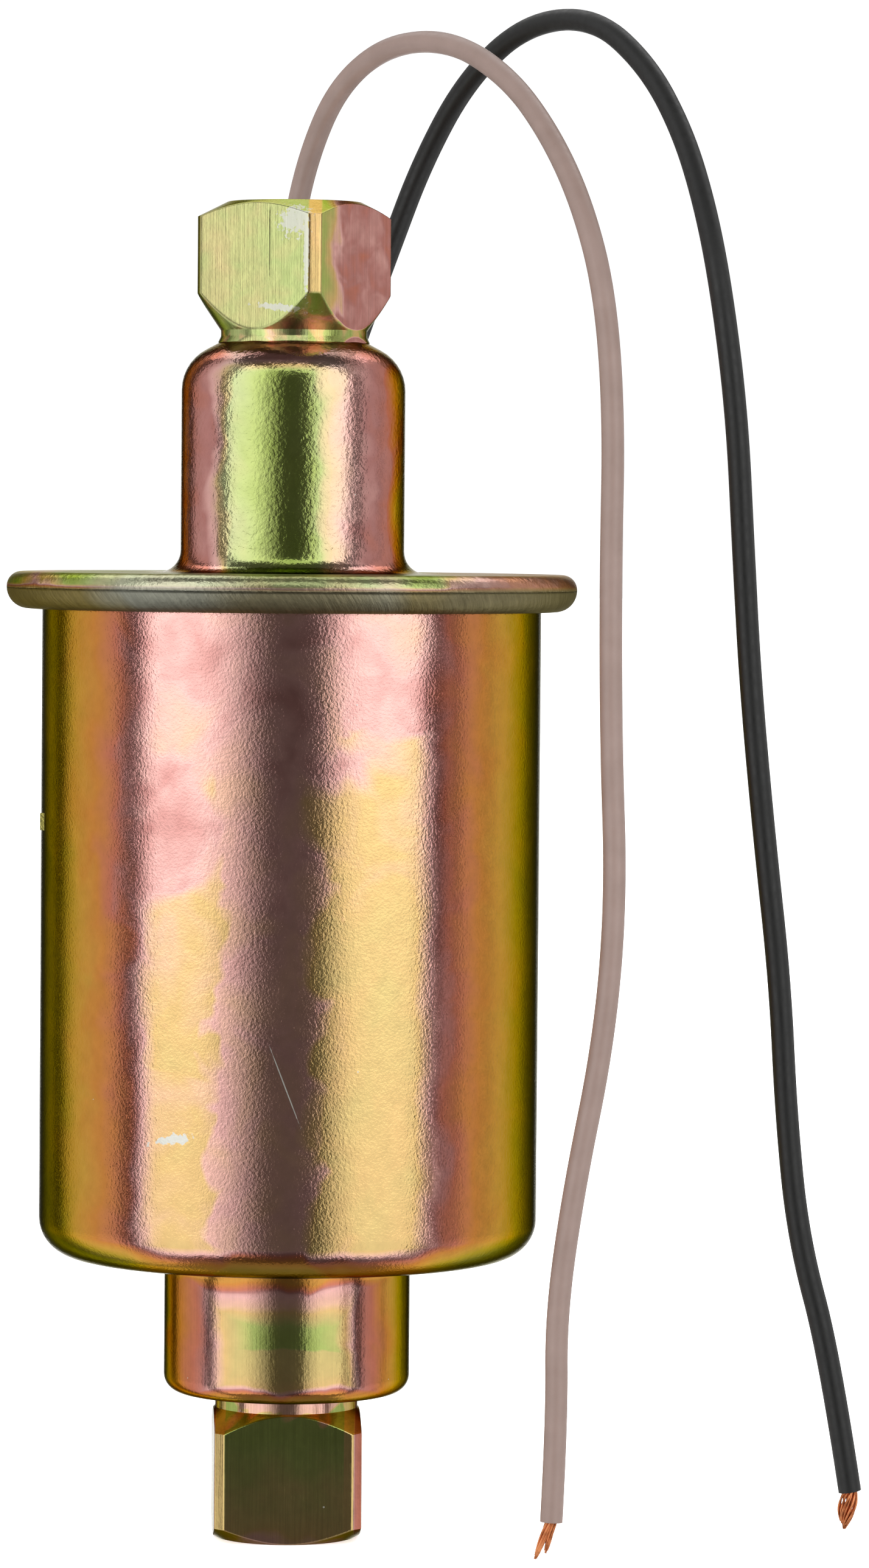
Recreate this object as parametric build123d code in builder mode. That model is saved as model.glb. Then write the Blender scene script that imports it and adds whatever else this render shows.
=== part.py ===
from build123d import *
from math import cos, pi, radians, tan
import os

# In-line electric fuel pump: a plated steel can with a domed cover, a square port fitting at
# each end and two loose leads, round a solenoid that drives a hollow plunger in a brass tube.
# All sizes are in millimetres. The origin is the middle of the can on its axis. +Z points to
# the outlet, and the leads leave the cover on the +Y side.

# Can
can_radius = 27.0
can_length = 70.0
can_wall = 0.9
can_corner = 4.1
can_flange_bend = 0.5
can_inner = can_radius - can_wall
can_top = can_length / 2
can_bottom = -can_length / 2
can_floor = can_bottom + can_wall

# Rolled rim, where the cover's edge is hemmed round the can's flange and a gasket
rim_reach = 3.85
rim_height = 4.0
rim_top_rounding = 1.6
rim_bottom_rounding = 2.3
hem_side = 1.25
cover_sheet = 1.1
rim_gasket_thickness = 0.9
rim_radius = can_radius + rim_reach
rim_top = can_top + rim_height
cover_underside = rim_top - cover_sheet
flange_top = cover_underside - rim_gasket_thickness
flange_bottom = flange_top - can_wall
hem_inner = rim_radius - hem_side

# Dome on the cover
dome_radius = 12.1
dome_height = 24.9
dome_slope = 28.0
dome_shoulder = 4.95
dome_foot = 2.4
dome_wall = 1.0
dome_seam_lift = 0.5
dome_inner = dome_radius - dome_wall
dome_top = rim_top + dome_height
dome_seam = rim_top + dome_foot + dome_seam_lift

# Port fittings: square bar turned down to a neck, tapped for a 1/8 inch pipe thread
port_flats = 15.9
port_bevel = 0.95
port_turned_radius = 10.6
port_face_radius = 7.8
port_chamfer_angle = 31.0
port_tap_radius = 4.366
port_tap_depth = 10.0
port_mouth_chamfer = 0.6
port_passage_radius = 3.0
spigot_radius = 6.5
port_chamfer = (port_turned_radius - port_face_radius) * tan(radians(port_chamfer_angle))

outlet_neck_radius = 7.9
outlet_neck_length = 1.2
outlet_cone_length = 3.97
outlet_square_length = 9.93
outlet_spigot_length = 3.5
outlet_turn = 58.0
outlet_cone_start = dome_top + outlet_neck_length
outlet_square_start = outlet_cone_start + outlet_cone_length
outlet_end = outlet_square_start + outlet_square_length

# Inlet cup under the can and the fitting below it
cup_radius = 13.35
cup_height = 14.85
cup_wall = 1.0
cup_corner = 1.9
cup_flare = 0.25
cup_flare_height = 1.6
cup_inner = cup_radius - cup_wall
cup_bottom = can_bottom - cup_height
cup_floor = cup_bottom + cup_wall
inlet_collar_radius = 7.75
inlet_collar_length = 1.65
inlet_upper_chamfer = 2.19
inlet_square_length = 14.1
inlet_spigot_length = 1.8
inlet_turn = 3.3
inlet_square_start = cup_bottom - inlet_collar_length
inlet_end = inlet_square_start - inlet_square_length

# Stake mark that holds the coil, pressed in the side of the can
stake_depth = 0.2
stake_width = 3.0
stake_height = 4.7

# Brass pump tube, from the inlet cup up into the dome
tube_bore = 8.0
tube_wall = 0.6
tube_below_can = 6.0
tube_above_rim = 3.0
tube_radius = tube_bore + tube_wall
tube_bottom = can_bottom - tube_below_can
tube_top = rim_top + tube_above_rim
slip = 0.1

# Seals
o_ring_section = 1.8
o_ring_mean = tube_radius + o_ring_section / 2
o_ring_room = 0.1
groove_radius = tube_radius + o_ring_section + o_ring_room
seal_height = o_ring_section + o_ring_room

# Coil unit, stacked on the can's floor under the room that the circuit board needs
electronics_room = 25.2
plate_thickness = 2.0
spacer_inset = 2.0
sleeve_gap = 1.6
sleeve_wall = 1.5
bobbin_gap = 0.9
bobbin_flange_reach = 1.2
bobbin_hub_wall = 1.7
bobbin_flange = 1.5
tape_thickness = 0.3
sense_winding_depth = 1.6
lower_plate_bottom = can_floor + seal_height
bobbin_bottom = lower_plate_bottom + plate_thickness
upper_plate_top = cover_underside - electronics_room
bobbin_top = upper_plate_top - plate_thickness
stake_z = upper_plate_top - plate_thickness / 2
sleeve_radius = can_inner - sleeve_gap
plate_radius = sleeve_radius - sleeve_wall
spacer_radius = plate_radius - spacer_inset
bobbin_bore = tube_radius + slip
bobbin_hub = bobbin_bore + bobbin_hub_wall
bobbin_radius = plate_radius - bobbin_gap
tape_radius = bobbin_radius - bobbin_flange_reach
sense_winding_radius = tape_radius - tape_thickness
drive_winding_radius = sense_winding_radius - sense_winding_depth

# Cover retainer and the spacer tube that holds the coil unit down
retainer_edge = 0.3
retainer_floor = 1.2
retainer_radius = dome_radius + dome_foot + retainer_edge
retainer_thickness = retainer_floor + seal_height
retainer_bottom = cover_underside - retainer_thickness
spacer_tube_wall = 1.3
spacer_tube_radius = tube_radius + slip + spacer_tube_wall

# Circuit board and what is on it
standoff_height = 5.0
standoff_radius = 2.0
standoff_inset = 5.3
board_thickness = 1.6
board_gap = 0.4
board_edge_gap = 1.3
board_inner = spacer_tube_radius + board_gap
board_bottom = upper_plate_top + standoff_height
board_top = board_bottom + board_thickness
part_inset = 7.0
lead_pin = 0.35
transistor_width = 10.2
transistor_depth = 4.5
transistor_height = 9.0
transistor_tab = 1.3
transistor_tab_height = 14.0
capacitor_radius = 3.2
capacitor_height = 10.5
resistor_radius = 1.2
resistor_length = 6.3
diode_radius = 1.35
diode_length = 5.0
part_lift = 0.5
resistor_angles = (-120, -90, -60)
diode_angles = (45, 140)
tail_radius = 0.35
tail_circle_radius = 15.0
tail_hole = 0.8
tail_count = 3
tail_angle = 30
standoff_count = 3
standoff_angle = -30
board_radius = can_inner - board_edge_gap
standoff_circle_radius = board_radius - standoff_inset
part_circle_radius = board_radius - part_inset

# Grommet and leads
lead_radius = 1.2
lead_spacing = 4.1
lead_slip = 0.05
grommet_x = -1.15
grommet_neck = 4.0
grommet_flange = 4.9
grommet_lip = 1.1
post_radius = 1.0
post_height = 4.0
inner_lead_radius = 0.95
grommet_y = (dome_radius + dome_foot + can_inner) / 2
grommet_top = rim_top + grommet_lip
grommet_bottom = cover_underside - grommet_lip
strand_radius = 0.22
bundle_radius = 0.6
bundle_length = 1.5
arc_share = 0.45

# Foot valve at the bottom of the tube
seat_thickness = 2.6
seat_hole = 2.8
seat_lip = 0.8
seat_lip_height = 0.4
seat_gap = 0.05
foot_disc_radius = 4.6
foot_disc_thickness = 1.2
foot_lift = 1.6
foot_spring_wire = 0.15
foot_spring_radius = 2.2
foot_spring_turns = 5
valve_spring_reserve = 0.6
cage_wall = 1.4
cage_top = 1.0
cage_hole = 1.0
cage_hole_circle_radius = 4.7
cage_holes = 6
seat_top = tube_bottom + seat_thickness
foot_disc_bottom = seat_top + seat_lip_height + seat_gap
foot_disc_top = foot_disc_bottom + foot_disc_thickness
foot_spring_solid = 2 * foot_spring_wire * (foot_spring_turns + 1)
foot_spring_length = foot_lift + foot_spring_solid + valve_spring_reserve
cage_ceiling = foot_disc_top + foot_spring_length
cage_end = cage_ceiling + cage_top

# Plunger, its spring and the delivery valve in its head
running_gap = 0.05
plunger_length = 36.0
plunger_bore = 3.4
plunger_edge = 0.6
plunger_stroke = 9.0
plunger_spring_wire = 0.45
plunger_spring_radius = 6.0
plunger_spring_turns = 6
plunger_spring_reserve = 2.4
head_wall = 2.05
head_depth = 7.0
delivery_disc_radius = 4.8
delivery_disc_thickness = 1.2
delivery_lift = 1.5
delivery_spring_wire = 0.15
delivery_spring_radius = 2.6
delivery_spring_turns = 5
ring_thickness = 0.9
ring_bore = 1.6
ring_hole = 0.9
ring_hole_circle_radius = 4.2
ring_holes = 6
plunger_radius = tube_bore - running_gap
plunger_spring_solid = 2 * plunger_spring_wire * (plunger_spring_turns + 1)
plunger_spring_length = plunger_stroke + plunger_spring_solid + plunger_spring_reserve
plunger_bottom = cage_end + plunger_spring_length
plunger_top = plunger_bottom + plunger_length
head_radius = plunger_radius - head_wall
head_floor = plunger_top - head_depth
delivery_disc_bottom = head_floor + seat_lip_height + seat_gap
delivery_disc_top = delivery_disc_bottom + delivery_disc_thickness
delivery_spring_solid = 2 * delivery_spring_wire * (delivery_spring_turns + 1)
delivery_spring_length = delivery_lift + delivery_spring_solid + valve_spring_reserve
ring_bottom = delivery_disc_top + delivery_spring_length

# Bumper that stops the plunger at the top of its travel
rest_gap = 0.3
bumper_inner = 5.2
bumper_thickness = 2.0
bumper_room = 0.3
bumper_cup_thickness = 2.0
bumper_cup_bore = 3.6
bumper_bottom = plunger_top + rest_gap
bumper_top = bumper_bottom + bumper_thickness

# Filter in the inlet cup
magnet_inner = 7.2
magnet_gap = 0.35
magnet_height = 2.4
filter_ring_wall = 1.3
filter_ring_height = 3.0
filter_mesh_thickness = 0.5
filter_mesh_hole = 0.7
filter_mesh_pitch = 2.2
filter_mesh_rows = 7
filter_gasket_height = 0.8
filter_ring_radius = cup_inner - (cup_corner - cup_wall)
magnet_radius = filter_ring_radius - filter_ring_wall - magnet_gap
magnet_top = cup_floor + magnet_height
filter_mesh_bottom = cup_floor + filter_ring_height
filter_mesh_top = filter_mesh_bottom + filter_mesh_thickness
filter_gasket_top = filter_mesh_top + filter_gasket_height

# Routes of the leads, chosen by hand: X and Y from the grommet's middle and the height above
# the cover's flat top. Each starts inside the grommet and ends where its insulation is cut.
gray_route = [
    (-2.05, 0.0, -2.2), (-2.05, 0.0, 6.8), (-1.9, 0.6, 16.8), (-1.1, 1.2, 26.8), (0.2, 1.6, 36.8),
    (2.0, 1.4, 45.9), (5.4, -1.6, 53.8), (11.0, -7.5, 58.1), (18.1, -14.8, 58.0), (24.3, -23.1, 53.3),
    (28.6, -31.0, 46.7), (31.8, -38.2, 39.1), (34.1, -43.6, 29.8), (35.1, -46.4, 16.8),
    (34.9, -46.7, 0.8), (35.1, -46.4, -17.2), (35.8, -46.2, -33.2), (34.7, -46.6, -48.2),
    (31.6, -46.8, -64.2), (29.9, -46.4, -77.2), (30.1, -46.2, -88.2), (29.6, -46.4, -99.0),
]
black_route = [
    (2.05, 0.0, -2.2), (2.1, 0.0, 6.0), (4.3, 0.8, 15.8), (7.6, 1.4, 25.8), (11.2, 1.8, 35.8),
    (14.8, 1.4, 45.6), (19.6, -2.4, 54.5), (26.0, -8.8, 60.3), (33.4, -16.0, 60.6), (39.0, -23.0, 54.9),
    (42.6, -29.8, 47.4), (44.8, -36.8, 39.1), (46.4, -42.2, 29.8), (48.0, -44.8, 16.8),
    (48.8, -44.7, 2.8), (49.7, -44.4, -11.2), (51.3, -44.6, -27.2), (53.1, -44.4, -42.2),
    (53.9, -44.2, -56.2), (55.3, -44.4, -69.2), (58.7, -44.6, -81.4), (61.0, -44.4, -95.8),
]
# Ends of the bare strands, from the end of the insulation
gray_strand_tips = [(-1.9, -0.1, -4.0), (-1.3, 0.2, -3.8), (-0.6, -0.2, -3.3), (-1.6, 0.4, -2.9)]
black_strand_tips = [(0.1, 0.1, -3.9), (0.7, -0.2, -3.3), (1.3, 0.2, -2.2), (-0.3, 0.3, -3.0)]

os.makedirs("parts", exist_ok=True)


def outline(*corners):
    """A filled outline in the XZ plane, from (radius, height, rounding) of each corner."""
    with BuildSketch(Plane.XZ) as face:
        with BuildLine():
            FilletPolyline(
                [(radius, height) for radius, height, _ in corners],
                radius=[rounding for _, _, rounding in corners],
                close=True,
            )
        make_face()
    return face.sketch


def ring(inner, outer, bottom, top):
    """The outline of a plain ring or, with an inner radius of 0, of a disc."""
    with BuildSketch(Plane.XZ) as face:
        with BuildLine():
            Polyline((inner, bottom), (outer, bottom), (outer, top), (inner, top), close=True)
        make_face()
    return face.sketch


def save(piece, name):
    """Label a finished piece and write it as the node of that name."""
    piece.part.label = name
    export_step(piece.part, f"parts/{name}.step")


# Can shell: deep drawn, with a flange turned out at its open top
with BuildPart() as can_shell:
    floor_hole = tube_radius + slip
    revolve(
        outline(
            (floor_hole, can_bottom, 0),
            (can_radius, can_bottom, can_corner),
            (can_radius, flange_bottom, can_flange_bend),
            (hem_inner, flange_bottom, 0),
            (hem_inner, flange_top, 0),
            (can_inner, flange_top, can_flange_bend + can_wall),
            (can_inner, can_floor, can_corner - can_wall),
            (floor_hole, can_floor, 0),
        ),
        axis=Axis.Z,
    )
    with BuildSketch(Plane.YZ.offset(-can_radius - stake_depth)):
        with Locations((0, stake_z)):
            Rectangle(stake_width, stake_height)
    extrude(amount=2 * stake_depth, mode=Mode.SUBTRACT)
save(can_shell, "can_shell")

# Top cover: flat plate hemmed under the can's flange, up to the foot of the dome
with BuildPart() as top_cover:
    hem_bore = can_radius + can_flange_bend + slip
    revolve(
        outline(
            (dome_inner, dome_seam, 0),
            (dome_radius, dome_seam, 0),
            (dome_radius, rim_top, dome_foot),
            (rim_radius, rim_top, rim_top_rounding),
            (rim_radius, can_top, rim_bottom_rounding),
            (hem_bore, can_top, 0),
            (hem_bore, flange_bottom, 0),
            (hem_inner, flange_bottom, 0),
            (hem_inner, cover_underside, 0),
            (dome_inner, cover_underside, dome_foot + dome_wall),
        ),
        axis=Axis.Z,
    )
    with Locations((grommet_x, grommet_y, rim_top)):
        Cylinder(grommet_neck, 2 * cover_sheet, mode=Mode.SUBTRACT)
save(top_cover, "top_cover")

# Dome: drawn up from the cover in the same sheet, and a node of its own above its foot
with BuildPart() as cover_dome:
    shoulder_drop = (dome_radius - outlet_neck_radius) * tan(radians(dome_slope))
    crown_wall = dome_wall / cos(radians(dome_slope))
    inner_edge_drop = (dome_inner - outlet_neck_radius) * tan(radians(dome_slope))
    revolve(
        outline(
            (spigot_radius, dome_top, 0),
            (outlet_neck_radius, dome_top, 0),
            (dome_radius, dome_top - shoulder_drop, dome_shoulder),
            (dome_radius, dome_seam, 0),
            (dome_inner, dome_seam, 0),
            (dome_inner, dome_top - crown_wall - inner_edge_drop, dome_shoulder - dome_wall),
            (outlet_neck_radius, dome_top - crown_wall, 0),
            (spigot_radius, dome_top - crown_wall, 0),
        ),
        axis=Axis.Z,
    )
save(cover_dome, "cover_dome")

# Rim gasket between the cover and the can's flange
with BuildPart() as rim_gasket:
    gasket_inner = can_inner + can_flange_bend + can_wall
    revolve(ring(gasket_inner, hem_inner, flange_top, cover_underside), axis=Axis.Z)
save(rim_gasket, "rim_gasket")


def square_bar(start, end, turn):
    """A square bar on the axis with narrow bevels along its four corners, turned by an angle."""
    with BuildPart() as bar:
        with BuildSketch(Plane.XY.offset(start)):
            Rectangle(port_flats, port_flats, rotation=turn)
            chamfer(vertices(), port_bevel)
        extrude(amount=end - start)
    return bar.part


# Outlet fitting: brazed in the dome, square with turned ends
with BuildPart() as outlet_fitting:
    add(square_bar(outlet_cone_start, outlet_end, outlet_turn))
    revolve(
        outline(
            (0, outlet_cone_start, 0),
            (outlet_neck_radius, outlet_cone_start, 0),
            (port_turned_radius, outlet_square_start, 0),
            (port_turned_radius, outlet_end - port_chamfer, 0),
            (port_face_radius, outlet_end, 0),
            (0, outlet_end, 0),
        ),
        axis=Axis.Z,
        mode=Mode.INTERSECT,
    )
    revolve(ring(0, outlet_neck_radius, dome_top, outlet_cone_start), axis=Axis.Z)
    revolve(ring(0, spigot_radius, dome_top - outlet_spigot_length, dome_top), axis=Axis.Z)
    with Locations((0, 0, outlet_end)):
        CounterSinkHole(port_tap_radius, port_tap_radius + port_mouth_chamfer, port_tap_depth, 90)
    revolve(
        ring(0, port_passage_radius, dome_top - outlet_spigot_length, outlet_end),
        axis=Axis.Z,
        mode=Mode.SUBTRACT,
    )
save(outlet_fitting, "outlet_fitting")

# Inlet cup: drawn cup brazed under the can, slightly flared where it meets the can
with BuildPart() as inlet_cup:
    flare_radius = cup_radius + cup_flare
    revolve(
        outline(
            (spigot_radius, cup_bottom, 0),
            (cup_radius, cup_bottom, cup_corner),
            (cup_radius, can_bottom - cup_flare_height, 0),
            (flare_radius, can_bottom, 0),
            (cup_inner, can_bottom, 0),
            (cup_inner, cup_floor, cup_corner - cup_wall),
            (spigot_radius, cup_floor, 0),
        ),
        axis=Axis.Z,
    )
save(inlet_cup, "inlet_cup")

# Inlet fitting: collar, square and spigot, tapped from below
with BuildPart() as inlet_fitting:
    add(square_bar(inlet_end, inlet_square_start, inlet_turn))
    revolve(
        outline(
            (0, inlet_square_start, 0),
            (inlet_collar_radius, inlet_square_start, 0),
            (port_turned_radius, inlet_square_start - inlet_upper_chamfer, 0),
            (port_turned_radius, inlet_end + port_chamfer, 0),
            (port_face_radius, inlet_end, 0),
            (0, inlet_end, 0),
        ),
        axis=Axis.Z,
        mode=Mode.INTERSECT,
    )
    revolve(ring(0, inlet_collar_radius, inlet_square_start, cup_bottom), axis=Axis.Z)
    revolve(ring(0, spigot_radius, cup_bottom, cup_bottom + inlet_spigot_length), axis=Axis.Z)
    revolve(
        outline(
            (0, inlet_end, 0),
            (port_tap_radius + port_mouth_chamfer, inlet_end, 0),
            (port_tap_radius, inlet_end + port_mouth_chamfer, 0),
            (port_tap_radius, inlet_end + port_tap_depth, 0),
            (port_passage_radius, inlet_end + port_tap_depth, 0),
            (port_passage_radius, cup_bottom + inlet_spigot_length, 0),
            (0, cup_bottom + inlet_spigot_length, 0),
        ),
        axis=Axis.Z,
        mode=Mode.SUBTRACT,
    )
save(inlet_fitting, "inlet_fitting")

# Pump tube: thin brass tube that the plunger runs in
with BuildPart() as pump_tube:
    revolve(ring(tube_bore, tube_radius, tube_bottom, tube_top), axis=Axis.Z)
save(pump_tube, "pump_tube")

# O-rings round the pump tube, one on the can's floor and one in the cover retainer
for name, bottom in (("lower_o_ring", can_floor), ("upper_o_ring", cover_underside - seal_height)):
    with BuildPart() as o_ring:
        with BuildSketch(Plane.XZ):
            with Locations((o_ring_mean, bottom + o_ring_section / 2)):
                Circle(o_ring_section / 2)
        revolve(axis=Axis.Z)
    save(o_ring, name)

# Lower spacer: plastic ring round the lower O-ring, under the coil unit
with BuildPart() as lower_spacer:
    revolve(ring(groove_radius, spacer_radius, can_floor, lower_plate_bottom), axis=Axis.Z)
save(lower_spacer, "lower_spacer")

# Pole plates: steel discs that close the coil's magnetic path
with BuildPart() as lower_pole_plate:
    revolve(ring(bobbin_bore, plate_radius, lower_plate_bottom, bobbin_bottom), axis=Axis.Z)
save(lower_pole_plate, "lower_pole_plate")

with BuildPart() as upper_pole_plate:
    revolve(ring(bobbin_bore, plate_radius, bobbin_top, upper_plate_top), axis=Axis.Z)
    with Locations((0, 0, bobbin_top + plate_thickness / 2)):
        with PolarLocations(tail_circle_radius, tail_count, start_angle=tail_angle):
            Cylinder(tail_hole, plate_thickness, mode=Mode.SUBTRACT)
save(upper_pole_plate, "upper_pole_plate")

# Flux sleeve: steel tube round the coil, from plate to plate
with BuildPart() as flux_sleeve:
    revolve(ring(plate_radius, sleeve_radius, lower_plate_bottom, upper_plate_top), axis=Axis.Z)
save(flux_sleeve, "flux_sleeve")

# Coil bobbin
with BuildPart() as coil_bobbin:
    revolve(
        outline(
            (bobbin_bore, bobbin_bottom, 0),
            (bobbin_radius, bobbin_bottom, 0),
            (bobbin_radius, bobbin_bottom + bobbin_flange, 0),
            (bobbin_hub, bobbin_bottom + bobbin_flange, 0),
            (bobbin_hub, bobbin_top - bobbin_flange, 0),
            (bobbin_radius, bobbin_top - bobbin_flange, 0),
            (bobbin_radius, bobbin_top, 0),
            (bobbin_bore, bobbin_top, 0),
        ),
        axis=Axis.Z,
    )
    with Locations((0, 0, bobbin_top)):
        with PolarLocations(tail_circle_radius, tail_count, start_angle=tail_angle):
            Cylinder(tail_hole, 2 * bobbin_flange, mode=Mode.SUBTRACT)
save(coil_bobbin, "coil_bobbin")

# Drive winding, sense winding and the tape round them, as plain rings
winding_bottom = bobbin_bottom + bobbin_flange
winding_top = bobbin_top - bobbin_flange
for name, inner, outer in (
    ("drive_winding", bobbin_hub, drive_winding_radius),
    ("sense_winding", drive_winding_radius, sense_winding_radius),
    ("coil_tape", sense_winding_radius, tape_radius),
):
    with BuildPart() as layer:
        revolve(ring(inner, outer, winding_bottom, winding_top), axis=Axis.Z)
    save(layer, name)

# Cover retainer: steel plate under the dome that closes the dry side of the can
with BuildPart() as cover_retainer:
    revolve(
        outline(
            (tube_radius + slip, retainer_bottom, 0),
            (retainer_radius, retainer_bottom, 0),
            (retainer_radius, cover_underside, 0),
            (groove_radius, cover_underside, 0),
            (groove_radius, retainer_bottom + retainer_floor, 0),
            (tube_radius + slip, retainer_bottom + retainer_floor, 0),
        ),
        axis=Axis.Z,
    )
save(cover_retainer, "cover_retainer")

# Spacer tube: plastic tube that presses the coil unit down
with BuildPart() as spacer_tube:
    revolve(ring(tube_radius + slip, spacer_tube_radius, upper_plate_top, retainer_bottom), axis=Axis.Z)
save(spacer_tube, "spacer_tube")

# Circuit board round the spacer tube, with holes for the coil's tails
with BuildPart() as circuit_board:
    revolve(ring(board_inner, board_radius, board_bottom, board_top), axis=Axis.Z)
    with Locations((0, 0, board_bottom + board_thickness / 2)):
        with PolarLocations(tail_circle_radius, tail_count, start_angle=tail_angle):
            Cylinder(tail_radius, board_thickness, mode=Mode.SUBTRACT)
save(circuit_board, "circuit_board")

# Three standoffs under the board
with BuildPart() as board_standoffs:
    with Locations((0, 0, upper_plate_top + standoff_height / 2)):
        with PolarLocations(standoff_circle_radius, standoff_count, start_angle=standoff_angle):
            Cylinder(standoff_radius, standoff_height)
save(board_standoffs, "board_standoffs")

# Coil tails: three enamelled wires from the bobbin's flange up through plate and board
with BuildPart() as coil_tails:
    tail_length = board_top + part_lift - winding_top
    with Locations((0, 0, winding_top + tail_length / 2)):
        with PolarLocations(tail_circle_radius, tail_count, start_angle=tail_angle):
            Cylinder(tail_radius, tail_length)
save(coil_tails, "coil_tails")

# Switching transistor: moulded body with its metal tab behind it
with BuildPart() as switching_transistor:
    with BuildSketch(Plane.XY.offset(board_top)):
        with Locations((-part_circle_radius, 0)):
            Rectangle(transistor_depth, transistor_width)
    extrude(amount=transistor_height)
    with BuildSketch(Plane.XY.offset(board_top + part_lift)):
        with Locations((-part_circle_radius - transistor_depth / 2 - transistor_tab / 2, 0)):
            Rectangle(transistor_tab, transistor_width)
    extrude(amount=transistor_tab_height)
save(switching_transistor, "switching_transistor")

# Timing capacitor: upright can
with BuildPart() as timing_capacitor:
    with Locations((part_circle_radius, 0, board_top + capacitor_height / 2)):
        Cylinder(capacitor_radius, capacitor_height)
    fillet(timing_capacitor.faces().sort_by(Axis.Z)[-1].edges(), part_lift)
save(timing_capacitor, "timing_capacitor")


def flat_parts(angles, radius, length):
    """Axial parts lying on the board, each one solid: a body and its two bent legs."""
    axis_height = part_lift + radius
    leg_reach = length / 2 + lead_pin
    leg_middle = (lead_pin - axis_height) / 2
    with BuildPart() as group:
        for angle in angles:
            with Locations(Location((0, 0, board_top + axis_height), (0, 0, angle))):
                with Locations((part_circle_radius, 0, 0)):
                    Cylinder(radius, length, rotation=(90, 0, 0))
                for side in (leg_reach, -leg_reach):
                    with Locations((part_circle_radius, side, leg_middle)):
                        Box(2 * lead_pin, 2 * lead_pin, axis_height + lead_pin)
    return group


# Resistors and diodes
save(flat_parts(resistor_angles, resistor_radius, resistor_length), "board_resistors")
save(flat_parts(diode_angles, diode_radius, diode_length), "clamp_diodes")

# Grommet: rubber bush in the cover with a hole for each lead
lead_places = [(grommet_x - lead_spacing / 2, grommet_y), (grommet_x + lead_spacing / 2, grommet_y)]
with BuildPart() as wire_grommet:
    for radius, bottom, top in (
        (grommet_flange, grommet_bottom, cover_underside),
        (grommet_neck, cover_underside, rim_top),
        (grommet_flange, rim_top, grommet_top),
    ):
        with BuildSketch(Plane.XY.offset(bottom)):
            with Locations((grommet_x, grommet_y)):
                Circle(radius)
        extrude(amount=top - bottom)
    fillet(wire_grommet.faces().sort_by(Axis.Z)[-1].edges(), grommet_lip / 2)
    with BuildSketch(Plane.XY.offset(grommet_bottom)):
        with Locations(*lead_places):
            Circle(lead_radius + lead_slip)
    extrude(amount=grommet_top - grommet_bottom, mode=Mode.SUBTRACT)
save(wire_grommet, "wire_grommet")

# Inside the can each lead goes on as a stripped tail, down to a brass post on the board
with BuildPart() as terminal_posts:
    with BuildSketch(Plane.XY.offset(board_top)):
        with Locations(*lead_places):
            Circle(post_radius)
    extrude(amount=post_height)
save(terminal_posts, "terminal_posts")

with BuildPart() as inner_leads:
    with BuildSketch(Plane.XY.offset(board_top + post_height)):
        with Locations(*lead_places):
            Circle(inner_lead_radius)
    extrude(amount=grommet_bottom - board_top - post_height)
save(inner_leads, "inner_leads")


def largest_arcs(points):
    """The radius at each corner of a route: as large as the two runs beside it allow."""
    radii = []
    for before, here, after in zip(points, points[1:], points[2:]):
        run_in = Vector(*here) - Vector(*before)
        run_out = Vector(*after) - Vector(*here)
        half_turn = radians(run_in.get_angle(run_out)) / 2
        radii.append(arc_share * min(run_in.length, run_out.length) / tan(half_turn))
    return radii


def lead(route):
    """One insulated lead along its route, and the route's last point in the part's frame."""
    points = [(grommet_x + x, grommet_y + y, rim_top + z) for x, y, z in route]
    radii = largest_arcs(points)
    with BuildPart() as tube:
        with BuildLine() as path:
            FilletPolyline(points, radius=radii)
        with BuildSketch(Plane(points[0], z_dir=(0, 0, 1))):
            Circle(lead_radius)
        sweep(path=path.wires()[0])
    length = path.wires()[0].length
    print("lead length", round(length, 1), "smallest radius", round(min(radii), 1))
    print("  volume over section times length", round(tube.part.volume / (pi * lead_radius**2 * length), 4))
    return tube, points[-1], Vector(*points[-1]) - Vector(*points[-2])


def strands(end, direction, tips):
    """Bare strands that leave the end of a lead: a short bundle that fans out to its tips."""
    with BuildPart() as fan:
        with BuildSketch(Plane(end, z_dir=direction)):
            Circle(bundle_radius)
        extrude(amount=bundle_length)
        for x, y, z in tips:
            reach = Vector(x, y, z)
            start = Vector(*end) + direction.normalized() * bundle_length / 2
            with BuildSketch(Plane(start, z_dir=reach)):
                Circle(strand_radius)
            extrude(amount=reach.length)
    return fan


gray_lead, gray_end, gray_direction = lead(gray_route)
black_lead, black_end, black_direction = lead(black_route)
save(gray_lead, "gray_lead")
save(black_lead, "black_lead")
save(strands(gray_end, gray_direction, gray_strand_tips), "gray_strands")
save(strands(black_end, black_direction, black_strand_tips), "black_strands")


def coil_spring(bottom, length, mean_radius, wire, turns):
    """A compression spring between two levels, its wire wholly inside them."""
    with BuildPart() as spring:
        rise = length - 2 * wire
        with BuildLine() as path:
            Helix(rise / turns, rise, mean_radius, center=(0, 0, bottom + wire))
        with BuildSketch(Plane(path.line @ 0, z_dir=path.line % 0)):
            Circle(wire)
        sweep(path=path.line, is_frenet=True)
    return spring


# Foot valve: seat pressed in the tube, disc, light spring and cage
with BuildPart() as foot_valve_seat:
    revolve(
        outline(
            (seat_hole, tube_bottom, 0),
            (tube_bore, tube_bottom, 0),
            (tube_bore, seat_top, 0),
            (seat_hole + seat_lip, seat_top, 0),
            (seat_hole + seat_lip, seat_top + seat_lip_height, 0),
            (seat_hole, seat_top + seat_lip_height, 0),
        ),
        axis=Axis.Z,
    )
save(foot_valve_seat, "foot_valve_seat")

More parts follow.
